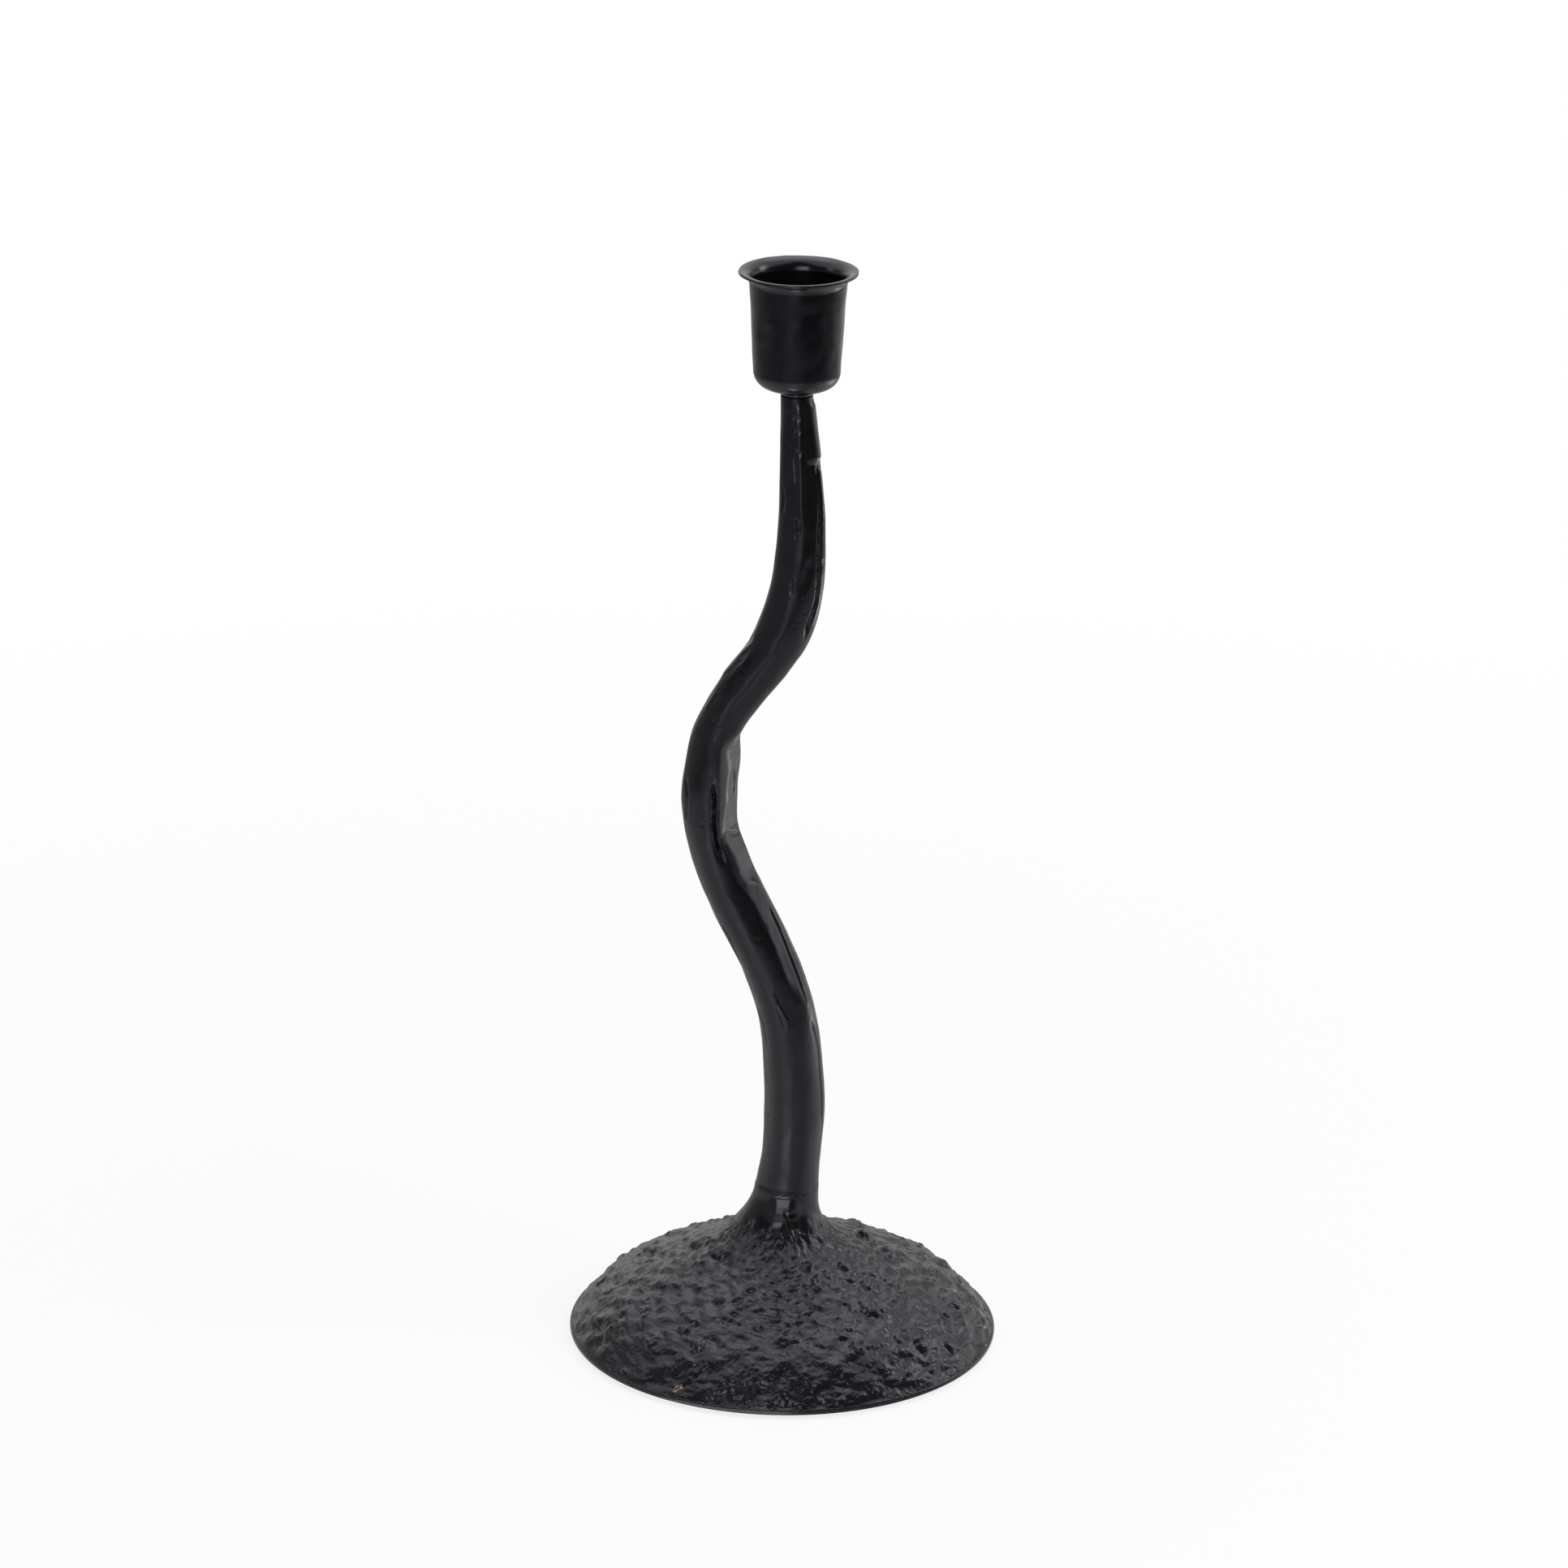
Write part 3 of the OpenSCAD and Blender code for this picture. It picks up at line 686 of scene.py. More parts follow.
# Stem: what was worked into its front, from top to bottom
STEM_MARKS = [
    # fuller right side under the cup
    (ridge, 0.75, 4.5, 0.15, [(999, 489), (1001, 515), (1004, 545), (1006, 575)]),
    # glossy ridge down the upper front, with dents across it
    (ridge, 0.25, 1.3, 0.12, [(983.5, 493), (984, 527), (985, 555), (987, 590), (987, 621), (990, 653)]),
    (groove, 0.24, 0.9, 0.3, [(976, 513), (983, 516), (988, 519)]),
    (groove, 0.22, 0.8, 0.3, [(977, 535), (984, 533), (988, 531)]),
    (groove, 0.24, 0.9, 0.3, [(978, 556), (985, 560), (990, 556)]),
    (
        ridge, 0.1, 0.5, 0.3, [(968, 511), (977, 510), (985, 516)],
        [(967, 541), (973, 549), (982, 552)],
    ),
    # thin groove left of the ridge, and one at the left edge
    (slit, 0.3, 0.7, 0.3, [(978, 555), (979, 574), (981, 596), (984, 602)]),
    (slit, 0.35, 0.8, 0.3, [(964, 596), (966, 614), (964, 638)]),
    # double slit
    (slit, 0.4, 0.5, 0.3, [(981, 635), (982, 653), (980, 667)]),
    (slit, 0.3, 0.45, 0.3, [(984.5, 640), (985.5, 653), (984, 662)]),
    # long crevice up the right side, with the lip that hangs over it
    (slit, 0.8, 0.9, 0.1, [
        (1005.5, 566), (1008, 581), (1009.5, 596), (1011, 621), (1010, 653), (1009, 684),
        (1009, 712), (1007, 738), (1003, 753), (997, 768), (990, 792),
    ]),
    (groove, 0.9, 2.2, 0.4, [(1011, 562), (1012, 572), (1012, 581)]),
    (groove, 0.4, 1.2, 0.4, [(1015, 620), (1015.5, 628)]),
    (groove, 0.5, 1.4, 0.4, [(1016, 690), (1015, 697)]),
    # dark band that narrows to the left
    (groove, 0.22, 2.0, 0.3, [(998, 684), (996, 704), (990, 722), (981, 738)]),
    (slit, 0.25, 0.6, 0.3, [(974, 713), (976, 723), (974, 735)]),
    # small pits
    (
        groove, 0.1, 0.5, 0, [(989, 738), (989, 740)], [(990, 755), (992, 755)],
        [(984, 766), (986, 766)], [(978, 773), (980, 773)],
    ),
    # notch in the left outline, the fuller edge below it, and thin cuts along that edge
    (groove, 0.5, 2.0, 0.4, [(929, 780), (924, 788), (918, 795)]),
    (ridge, 0.08, 2.2, 0.4, [(918, 798), (912, 806), (908, 817)]),
    (ridge, 0.08, 2.4, 0.4, [(899, 820), (894, 827), (889, 835)]),
    (ridge, 0.38, 8.5, 0.5, [(920, 796), (908, 812), (898, 826), (890, 839), (883, 852), (874, 870)]),
    (slit, 0.12, 0.5, 0.3, [(907, 823), (914, 826), (919, 832)]),
    (slit, 0.14, 0.55, 0.3, [(918, 809), (909, 816), (903, 823), (895, 832), (888, 842)]),
    (slit, 0.2, 0.9, 0.2, [(892, 826), (878, 848), (864, 870), (851, 895)]),
    (ridge, 0.16, 0.7, 0.3, [(888, 846), (881, 855), (874, 865), (866, 880)]),
    (slit, 0.3, 0.5, 0.3, [(885, 880), (880, 887), (877, 893)]),
    (slit, 0.2, 0.5, 0.3, [(889, 899), (883, 905), (878, 912)]),
    # left edge groove, and small nicks beside it
    (slit, 0.4, 0.9, 0.2, [(845, 955), (847, 982), (846, 1012)]),
    (groove, 0.2, 0.6, 0.3, [(864, 1013), (866, 1020)]),
    (slit, 0.14, 0.5, 0.3, [(867, 1062), (875, 1076), (888, 1097)]),
    # steps inside the gouge
    (slit, 0.5, 0.8, 0.2, [(896, 1026), (903, 1027), (911, 1026)]),
    (groove, 0.3, 1.0, 0.3, [(904, 943), (905, 962), (905, 982)]),
    # valley left of the crest, and the uneven cut along it
    (groove, 0.4, 1.2, 0.12, [
        (880, 958), (880, 981), (882, 1000), (881, 1014), (882, 1037), (886, 1053), (894, 1069),
    ]),
    (slit, 0.75, 0.85, 0.2, [
        (878, 954), (880, 966), (878.5, 974), (881, 984), (880.5, 1000), (879.5, 1012), (881, 1023),
        (883, 1036), (887, 1049), (892, 1059), (898, 1069),
    ]),
    # shallow dents across the front
    (
        groove, 0.05, 0.9, 0.3, [(903, 1107), (911, 1110), (918, 1109)],
        [(915, 1131), (924, 1134), (931, 1132)], [(927, 1158), (935, 1160), (943, 1157)],
    ),
    (slit, 0.12, 0.8, 0.3, [(936, 1137), (942, 1141), (947, 1146)]),
    # long thin line at the right, and a scratch at the left
    (slit, 0.08, 0.5, 0.08, [
        (945, 1113), (949, 1124), (958, 1143), (970, 1173), (982, 1205), (994, 1243),
    ]),
    (ridge, 0.22, 0.45, 0.08, [
        (948, 1113), (952, 1124), (961, 1143), (973, 1173), (985, 1205), (996, 1241),
    ]),
    (slit, 0.1, 0.45, 0.2, [(883, 1090), (898, 1113), (909, 1134), (919, 1157)]),
    # slit with a bright right lip
    (slit, 0.12, 0.6, 0.15, [(939, 1194), (946, 1218), (955, 1239), (964, 1257), (968, 1277)]),
    (ridge, 0.2, 0.5, 0.2, [(950, 1220), (959, 1240), (969, 1257), (972, 1275)]),
    # grooves in both outlines
    (slit, 0.5, 1.0, 0.2, [(887, 1135), (899, 1158), (914, 1192)]),
    (slit, 0.3, 0.7, 0.2, [(931, 1236), (940, 1260), (946, 1292)]),
    (slit, 0.5, 0.9, 0.12, [(999, 1255), (1003, 1269), (1008, 1290), (1011, 1330), (1012, 1387)]),
    # small crack
    (slit, 0.22, 0.5, 0.3, [(947, 1369), (953, 1377), (963, 1382)]),
]
# Flats on the front, as flatten() takes them
STEM_FACETS = [
    # dark flat right of the upper ridge
    (27, 0.08, 0.12, [(989, 486), (989, 530), (990, 564), (991, 600), (992, 650)]),
    # left side of the crest, its steep right side, and its softer end further down
    (42, 0.1, 0.12, [
        (893, 905), (888, 925), (886.5, 950), (886, 980), (886, 1000), (885, 1020), (886, 1035),
        (890, 1047), (895, 1057), (900, 1067), (903, 1078), (909, 1090), (919, 1100), (927, 1112),
    ]),
    (69, 0.2, 0.14, [
        (895, 905), (896.5, 924), (899, 939), (899, 950), (897, 963), (895.5, 977), (896, 990),
        (894.5, 1001), (892.5, 1014), (892, 1026), (895, 1036), (901, 1045), (907, 1055),
        (911, 1067), (914, 1077), (919.5, 1087), (925, 1096), (929, 1110),
    ]),
    (52, 0.16, 0.2, [
        (903, 1070), (914, 1090), (928, 1112), (937, 1130), (946, 1148), (954, 1165),
        (963, 1190), (971, 1210), (979, 1240),
    ]),
]
# Worked places on the back and sides: shape, height, width, and height share and direction in
# degrees, from the right towards the back, of each point
BACK_MARKS = [
    (groove, 0.5, 3.0, [(0.9, 95), (0.84, 102), (0.76, 99)]),
    (slit, 0.4, 0.8, [(0.86, 70), (0.79, 76), (0.7, 74), (0.64, 82)]),
    (groove, 0.6, 2.4, [(0.66, 120), (0.6, 112), (0.53, 116), (0.47, 128)]),
    (ridge, 0.35, 1.4, [(0.6, 100), (0.53, 98), (0.46, 108)]),
    (slit, 0.35, 0.7, [(0.44, 62), (0.38, 70), (0.31, 84), (0.26, 90)]),
    (groove, 0.4, 2.6, [(0.3, 130), (0.24, 140), (0.17, 138)]),
    (slit, 0.3, 0.6, [(0.2, 80), (0.15, 86), (0.09, 84)]),
    (groove, 0.35, 2.0, [(0.5, 185), (0.42, 178), (0.35, 184)]),
    (slit, 0.3, 0.7, [(0.72, 172), (0.67, 168), (0.6, 176)]),
    (groove, 0.4, 1.8, [(0.33, 8), (0.27, 2), (0.2, 6)]),
]

# Points round the stem, and rings up it
STEM_SIDES = 160
STEM_RINGS = 560
# How much the stem's foot widens to meet the neck, and up to which height above the joint
JOINT_FLARE = 0.17
JOINT_REACH = 1.6
# Shares of a mark on the back, and of the stem's height, over which unevenness fades at the ends
BACK_FADE = 0.25
END_FADE = 0.012
# Bores for bolt and screw: their radii, how far the first goes past the bolt's end and how high
# above the joint its middle ring is, and the second's length
BOLT_BORE_R = 3.05
SCREW_BORE_R = 2.05
BOLT_BORE_PAST = 2
BOLT_BORE_RING = 6
SCREW_BORE_L = 12
# Hand-worked unevenness: cell size and height in mm, and how much longer than wide the cells are
WORKED = [(11.0, 0.22), (5.0, 0.11), (2.4, 0.055), (1.2, 0.012)]
WORKED_STRETCH = 2.2


def stem_points(u, a):
    """Points of the smooth stem at height shares u and directions a in degrees."""
    rows = [(0, 0, STEM_FOOT_D, STEM_FOOT_D)]
    rows += [(h, x * STEM_SWAY, w * STEM_D, d * STEM_D) for h, x, w, d in STEM_SHARES]
    rows += [(1, 0, STEM_TOP_D, STEM_TOP_D)]
    fade = np.clip(np.minimum(u, 1 - u) / FADE_SHARE, 0, 1)
    flats = fade * sum(k * np.sin(np.radians(n * a + twist * u)) for k, n, twist in FLAT_SHARES)
    turn = (a - GOUGE_TURN + 540) % 360 - 180
    reach_u = np.clip((u - GOUGE_SHARE) / GOUGE_REACH, -1, 1)
    reach_a = np.clip(turn / GOUGE_SPREAD, -1, 1)
    gouge = GOUGE_DEPTH * (1 + np.cos(math.pi * reach_u)) / 2 * (1 + np.cos(math.pi * reach_a)) / 2
    c, s = np.cos(np.radians(a)), np.sin(np.radians(a))
    x = STEM_X + curve(rows, u, 1) + (curve(rows, u, 2) / 2 * (1 + flats) - gouge) * c
    y = (curve(rows, u, 3) / 2 * (1 + flats) - gouge) * s
    return np.stack([x, y, NECK_TOP_Z + STEM_H * u + 0 * a], -1)


def build_stem():
    """The stem, with its tapped holes at both ends."""
    u = np.linspace(0, 1, STEM_RINGS + 1)[:, None]
    a = np.arange(STEM_SIDES)[None, :] * 360 / STEM_SIDES
    grid = stem_points(u, a)
    normal = surface_normals(grid).reshape(-1, 3)
    points = flatten(grid.reshape(-1, 3).copy(), normal, STEM_FACETS)
    normal = surface_normals(points.reshape(grid.shape)).reshape(-1, 3)
    surface = Surface(points, normal)
    height = carve(points, surface, STEM_MARKS)
    for shape, tall, width, places in BACK_MARKS:
        path = np.array([stem_points(np.array(h), np.array(float(d))) for h, d in places])
        gap, place = path_distance(points, path)
        height += tall * faded(place, BACK_FADE) * shape(gap, width)
    for cell, tall in WORKED:
        height += tall * noise_at(points / [cell, cell, cell * WORKED_STRETCH])
    ends = np.clip(np.minimum(u, 1 - u) / END_FADE, 0, 1) + 0 * a
    foot = JOINT_FLARE * smooth(1 - (points[:, 2] - NECK_TOP_Z) / JOINT_REACH)
    points = points + normal * (height * ends.reshape(-1) + foot)[:, None]
    bolt_z = (bolt_high[2] + BOLT_BORE_PAST, NECK_TOP_Z + BOLT_BORE_RING, NECK_TOP_Z)
    screw_z = (STEM_TOP_Z, STEM_TOP_Z - SCREW_BORE_L / 2, STEM_TOP_Z - SCREW_BORE_L)
    rings = [circle(BOLT_BORE_R, z, STEM_SIDES) for z in bolt_z]
    rings += list(points.reshape(grid.shape))
    rings += [circle(SCREW_BORE_R, z, STEM_SIDES, STEM_X) for z in screw_z]
    return capped("stem", rings)


# Cup: sizes as the source of the solids has them
SEAT_R = 11.15
SEAT_WALL = 0.75
CUP_WALL = 1.0
CUP_FLOOR = 1.0
CUP_TAPER = 1.15
CUP_BEND_R = 5.0
LIP_OUT = 3.1
LIP_H = 4.0
LIP_T = 0.8
SEAT_L = 12.0
CUP_HOLE_R = 2.3
# How far the lip's edge starts inside the rim, and lies below the top
LIP_EDGE = 0.3
LIP_DROP = 0.02
# The wall's slight flare below the lip: its height and its reach down the wall
LIP_FLARE = 0.12
FLARE_REACH = 5.5
# Dents in the sheet: cell size across and up the cup, and height; how many times finer the second
# set is, and its height; radius from which dents grow, and over how much of it
DENTS = (9, 14, 0.22)
FINE_DENTS = (2.6, 0.07)
DENTS_FROM = (6, 4)
# Unevenness of the lip's level: cell size and height, and the radius from which it grows
LIP_LEVEL = (10, 0.05)
LEVEL_FROM = (12, 3)
# A bead of paint on the lip and a dent in the wall: place from the cup's axis and its top, height
# and radius
BLEMISHES = [((-3.6, 15.5, -0.5), 0.45, 1.1), ((-8.5, -9.0, -16.0), -0.25, 4.5)]


def cup_outline():
    """Closed outline of the cup's wall, from the hole in its floor round the outside and back."""
    lower_r = SEAT_R + SEAT_WALL
    upper_r = lower_r + CUP_TAPER
    root_z = CUP_TOP_Z - LIP_H
    inner_bend = CUP_BEND_R - CUP_FLOOR
    seat_z = CUP_BOTTOM_Z + CUP_BEND_R
    under = arc(lower_r - CUP_BEND_R, seat_z, CUP_BEND_R, CUP_BEND_R, -90, 0, 14)
    lip_under = arc(RIM_R - LIP_EDGE, root_z, LIP_OUT - LIP_EDGE, LIP_H - LIP_T, 180, 90, 14)
    half = LIP_T / 2
    edge = arc(RIM_R - half, CUP_TOP_Z - half - LIP_DROP, half, half, -70, 80, 7)
    lip_in = RIM_R - half - upper_r + CUP_WALL
    lip_over = arc(RIM_R - half, root_z, lip_in, LIP_H - LIP_DROP, 92, 180, 14)
    inside = [(SEAT_R, seat_z + SEAT_L)]
    inside += arc(SEAT_R - inner_bend, seat_z, inner_bend, inner_bend, 0, -90, 12)
    inside.append((CUP_HOLE_R, CUP_BOTTOM_Z + CUP_FLOOR))
    return [(CUP_HOLE_R, CUP_BOTTOM_Z)] + under + lip_under + edge + lip_over + inside


def uneven_cup(points):
    """Slight dents in the thin sheet, its flare below the lip, and the blemishes."""
    x, y = points[:, 0] - CUP_X, points[:, 1]
    r = np.hypot(x, y)
    out = np.stack([x / r, y / r, 0 * r], -1)
    across, along, deep = DENTS
    finer, shallow = FINE_DENTS
    cells = np.stack([x / across, y / across, points[:, 2] / along], -1)
    dents = deep * noise_at(cells) + shallow * noise_at(cells * finer)
    points = points + out * (grow(r, *DENTS_FROM) * dents)[:, None]
    cell, sag = LIP_LEVEL
    level = np.stack([x / cell, y / cell, 0 * r], -1)
    points[:, 2] -= sag * grow(r, *LEVEL_FROM) * (1 + noise_at(level))
    flare = LIP_FLARE * hump((points[:, 2] - CUP_TOP_Z + LIP_H) / FLARE_REACH)
    points += out * flare[:, None]
    for place, tall, reach in BLEMISHES:
        gap = np.linalg.norm(points - (np.array([CUP_X, 0, CUP_TOP_Z]) + place), axis=1)
        points += out * (tall * hump(gap / reach))[:, None]
    points[:, 2] = np.minimum(points[:, 2], CUP_TOP_Z)
    keep = np.minimum(1, RIM_R / np.hypot(points[:, 0] - CUP_X, points[:, 1]))
    points[:, 0] = CUP_X + (points[:, 0] - CUP_X) * keep
    points[:, 1] *= keep
    return points


def build_cup():
    return lathe("candle_cup_skin", refine(cup_outline(), 0.5), 256, CUP_X, uneven_cup)


def build_collar():
    """The small round-edged spool between stem and cup, with a hole for the screw."""
    low, high = collar_low[2], collar_high[2]
    r = (collar_high[0] - collar_low[0]) / 2
    rounding = (high - low) / 2
    edge = arc(r - rounding, (low + high) / 2, rounding, rounding, -90, 90, 17)
    outline = [(CUP_HOLE_R, low)] + edge + [(CUP_HOLE_R, high)]
    return lathe("collar_spool", refine(outline, 0.35), 128, CUP_X)


# Bolt: height of its head, width across the flats, and a radius between shank and flats; screw:
# height and radius of its head, length, width and depth of its cross recess, and how softly the
# recess's walls and ends slope
BOLT_HEAD_H = 4
BOLT_ACROSS = 10
BOLT_CLEAR_R = 4
SCREW_HEAD_H = 2.4
SCREW_HEAD_R = 4
RECESS = (4.4, 0.9, 1.3)
RECESS_WALL = 0.24
RECESS_END = 0.7


def hexagon(points, across, top_z):
    """Pulls a round bolt head in to a hexagon below top_z."""
    r, a = polar(points)
    flat = across / 2 / np.cos((a + math.pi / 6) % (math.pi / 3) - math.pi / 6)
    head = (points[:, 2] < top_z) & (r > BOLT_CLEAR_R)
    points[head, :2] *= np.minimum(1, flat[head] / r[head])[:, None]
    return points


def build_bolt():
    """The tie bolt: a chamfered hexagon head and its shank."""
    low, top = bolt_low[2], bolt_high[2]
    head_top = low + BOLT_HEAD_H
    corner = BOLT_ACROSS / 2 / math.cos(math.pi / 6)
    outline = [(0.4, low + 0.35), (2.8, low + 0.35), (3.2, low), (4.6, low)]
    outline += [(corner, low + 0.55), (corner, head_top - 0.3), (corner - 0.2, head_top)]
    outline += [(3.0, head_top), (3.0, top - 1), (2.4, top), (0.4, top)]
    rings = [circle(r, z, 96) for r, z in refine(outline, 0.8, closed=False)]
    rings = [hexagon(ring, BOLT_ACROSS, head_top + 0.1) for ring in rings]
    return capped("tie_bolt_head", rings, 25)


def build_washer(node, hole_r, bevel):
    """A flat washer with broken edges, where the CAD has it."""
    low, high = box_mm(node)
    r = (high[0] - low[0]) / 2
    outline = [
        (hole_r, low[2] + bevel), (hole_r + bevel, low[2]), (r - bevel, low[2]), (r, low[2] + bevel),
        (r, high[2] - bevel), (r - bevel, high[2]), (hole_r + bevel, high[2]), (hole_r, high[2] - bevel),
    ]
    return lathe(node + "_ring", refine(outline, 0.9), 96, (high[0] + low[0]) / 2)


def cross_recess(points, top_z, length, width, depth):
    """Sinks a cross with sloping walls into a screw head."""
    x, y = np.abs(points[:, 0] - CUP_X), np.abs(points[:, 1])
    across, along = np.minimum(x, y), np.maximum(x, y)
    inside = switch(width / 2, across, RECESS_WALL) * grow(length / 2, along, RECESS_END)
    core = hump(np.hypot(x, y) / (width * 1.5))
    face = points[:, 2] > top_z - 1.6
    points[:, 2] -= np.where(face, depth * np.maximum(inside, core * 0.9), 0)
    return points


def build_screw():
    """The cup screw: a pan head with a cross recess, and its shank."""
    low, high = screw_low[2], screw_high[2]
    seat = high - SCREW_HEAD_H
    pan = [(SCREW_HEAD_R * math.sin(t), high - 1.3 * (1 - math.cos(t)) - 0.9 * math.sin(t) ** 6)
           for t in np.linspace(math.pi / 2, 0.02, 46)]
    outline = [(0.2, low), (1.6, low), (2, low + 0.6), (2, seat), (3.8, seat)]
    outline.append((SCREW_HEAD_R, seat + 0.2))
    rings = [circle(r, z, 128, CUP_X) for r, z in outline]
    rings += [cross_recess(circle(r, z, 128, CUP_X), high, *RECESS) for r, z in pan]
    return capped("cup_screw_head", rings, 30)


# Felt pads: rounding of their edge, and how deep and in how many cells per mm they are fuzzy
PAD_ROUND = 0.3
FUZZ = (0.012, 2.2)


def build_pad(name, node):
    """A felt disc with a soft rounded edge."""
    low, high = box_mm(node)
    r = (high[0] - low[0]) / 2
    x, y = (high[:2] + low[:2]) / 2
    inner = r - PAD_ROUND
    outline = [(PAD_ROUND, low[2]), (inner, low[2])]
    outline += arc(inner, low[2] + PAD_ROUND, PAD_ROUND, PAD_ROUND, -80, 0, 4)
    outline += [(r, high[2] - 0.05), (r - 0.1, high[2]), (PAD_ROUND, high[2])]
    rings = [circle(rr, z, 96) for rr, z in refine(outline, 0.3, closed=False)]
    deep, cells = FUZZ
    for ring in rings:
        fuzz = 1 - deep * (1 + noise_at(ring * cells))
        ring[:, :2] *= fuzz[:, None]
        ring[:, 0] += x
        ring[:, 1] += y
    return capped(name, rings)


# Finishes
# Slightly violet sheen of all the black paints
SHEEN = (0.94, 0.885, 1.0, 1)


def new_material(name):
    """An empty node material, its tree and its surface shader."""
    material = bpy.data.materials.new(name)
    material.use_nodes = True
    tree = material.node_tree
    return material, tree, tree.nodes["Principled BSDF"]


def add(tree, kind, *values, **named):
    """A node. Values go to its inputs in order, and so does what is named with a capital; other
    names are settings. An input is a value or another node's output."""
    made = tree.nodes.new(kind)
    for key, value in named.items():
        if key[0].islower():
            setattr(made, key, value)
    inputs = list(zip(made.inputs, values))
    inputs += [(made.inputs[k.replace("_", " ")], v) for k, v in named.items() if k[0].isupper()]
    for socket, value in inputs:
        if isinstance(value, bpy.types.NodeSocket):
            tree.links.new(value, socket)
        else:
            socket.default_value = value
    return made


def grain(tree, cell, squash=1.0, detail=2.0, distortion=0.0):
    """Noise whose cells measure so many millimetres, flattened along z by squash."""
    place = add(tree, "ShaderNodeTexCoord").outputs["Object"]
    scaled = add(tree, "ShaderNodeMapping", Vector=place, Scale=(1, 1, 1 / squash))
    return add(
        tree, "ShaderNodeTexNoise", Vector=scaled.outputs["Vector"], Scale=1 / (cell * MM),
        Detail=detail, Distortion=distortion,
    ).outputs["Fac"]


def ramp(tree, factor, *stops):
    """A colour ramp from (place, colour or grey) stops."""
    made = add(tree, "ShaderNodeValToRGB", Fac=factor)
    for element, (place, tone) in zip(made.color_ramp.elements, stops):
        element.position = place
        element.color = (*tone, 1) if isinstance(tone, tuple) else (tone, tone, tone, 1)
    return made.outputs["Color"]


def finish(name, tone, gloss, reliefs, **constants):
    """A finish. Tone and gloss are a grain, as grain() takes it, and two stops of a ramp; a relief
    is a grain and its full depth in millimetres; constants go on the shader's own sockets."""
    material, tree, shader = new_material(name)
    for key, value in constants.items():
        shader.inputs[key.replace("_", " ")].default_value = value
    for socket, pattern in (("Base Color", tone), ("Roughness", gloss)):
        if pattern:
            tree.links.new(ramp(tree, grain(tree, *pattern[0]), *pattern[1:]), shader.inputs[socket])
    for size, depth in reliefs:
        made = add(tree, "ShaderNodeBump", Height=grain(tree, *size), Distance=depth * MM)
        if shader.inputs["Normal"].is_linked:
            tree.links.new(shader.inputs["Normal"].links[0].from_socket, made.inputs["Normal"])
        tree.links.new(made.outputs["Normal"], shader.inputs["Normal"])
    return material


def rough_black_iron():
    """Black paint over the rough casting, chipped to rusty metal in a few places."""
    material = finish(
        "rough_black_iron",
        ((3.0,), (0.3, (0.0045, 0.0042, 0.0048)), (0.7, (0.0078, 0.0073, 0.0083))),
        ((1.6,), (0.35, 0.07), (0.65, 0.16)),
        [((0.9, 1, 3), 0.15), ((0.33,), 0.04)], Specular_Tint=SHEEN,
    )
    tree = material.node_tree
    paint = tree.nodes["Principled BSDF"].inputs["Base Color"]
    chip = add(tree, "ShaderNodeAttribute", attribute_name="chip").outputs["Fac"]
    torn = add(tree, "ShaderNodeMath", chip, grain(tree, 0.7, 1, 3), operation="MULTIPLY")
    bare = ramp(tree, torn.outputs[0], (0.42, 0.0), (0.5, 1.0))
    rust = ramp(tree, grain(tree, 0.6), (0.4, (0.16, 0.09, 0.06)), (0.6, (0.42, 0.34, 0.28)))
    color = add(tree, "ShaderNodeMix", bare, data_type="RGBA")
    tree.links.new(paint.links[0].from_socket, color.inputs[6])
    tree.links.new(rust, color.inputs[7])
    tree.links.new(color.outputs[2], paint)
    return material


def smooth_black_iron():
    """Satin black paint over the hand-worked stem, with fine ripples across it."""
    return finish(
        "smooth_black_iron",
        ((6.0,), (0.3, (0.0028, 0.0026, 0.0030)), (0.7, (0.0042, 0.0039, 0.0045))),
        ((5.0, 1.6), (0.35, 0.16), (0.65, 0.24)),
        [((0.9, 0.4), 0.014), ((0.4,), 0.012)], Specular_Tint=SHEEN,
    )


def black_sheet(name, gloss_low, gloss_high):
    """Black powder coat with orange peel."""
    return finish(
        name,
        ((4.0,), (0.3, (0.0018, 0.0017, 0.0021)), (0.7, (0.0028, 0.0026, 0.0032))),
        ((3.0,), (0.35, gloss_low), (0.65, gloss_high)),
        [((0.6,), 0.014)], Specular_Tint=SHEEN,
    )


def zinc_steel():
    """Zinc-plated steel, slightly clouded."""
    return finish(
        "zinc_steel",
        ((1.5,), (0.3, (0.48, 0.49, 0.5)), (0.7, (0.6, 0.61, 0.62))),
        ((0.9,), (0.3, 0.3), (0.7, 0.45)),
        [((0.3,), 0.01)], Metallic=1.0,
    )


def felt():
    """Pressed dark grey felt."""
    return finish(
        "felt",
        ((0.35, 1, 4), (0.3, (0.02, 0.02, 0.021)), (0.7, (0.075, 0.075, 0.078))),
        None,
        [((0.22, 1, 4, 1.5), 0.12)], Roughness=0.95, Sheen_Weight=0.4,
    )


# Studio: what the dark paint mirrors. Directions are in degrees round the object, 0 towards the
# camera and 90 to its right; a brightness of 1 is the white background.
TENT_R = 1500.0
# Height of its floor, the least distance out, the rings of the floor, the step round and up the
# walls, the height in degrees that these end below, and the brightness of the floor's middle
TENT_FLOOR_Z = 0.2
TENT_FROM = 4
TENT_RINGS = 90
TENT_STEP = 2.5
TENT_END = 88
TENT_MIDDLE = 0.5
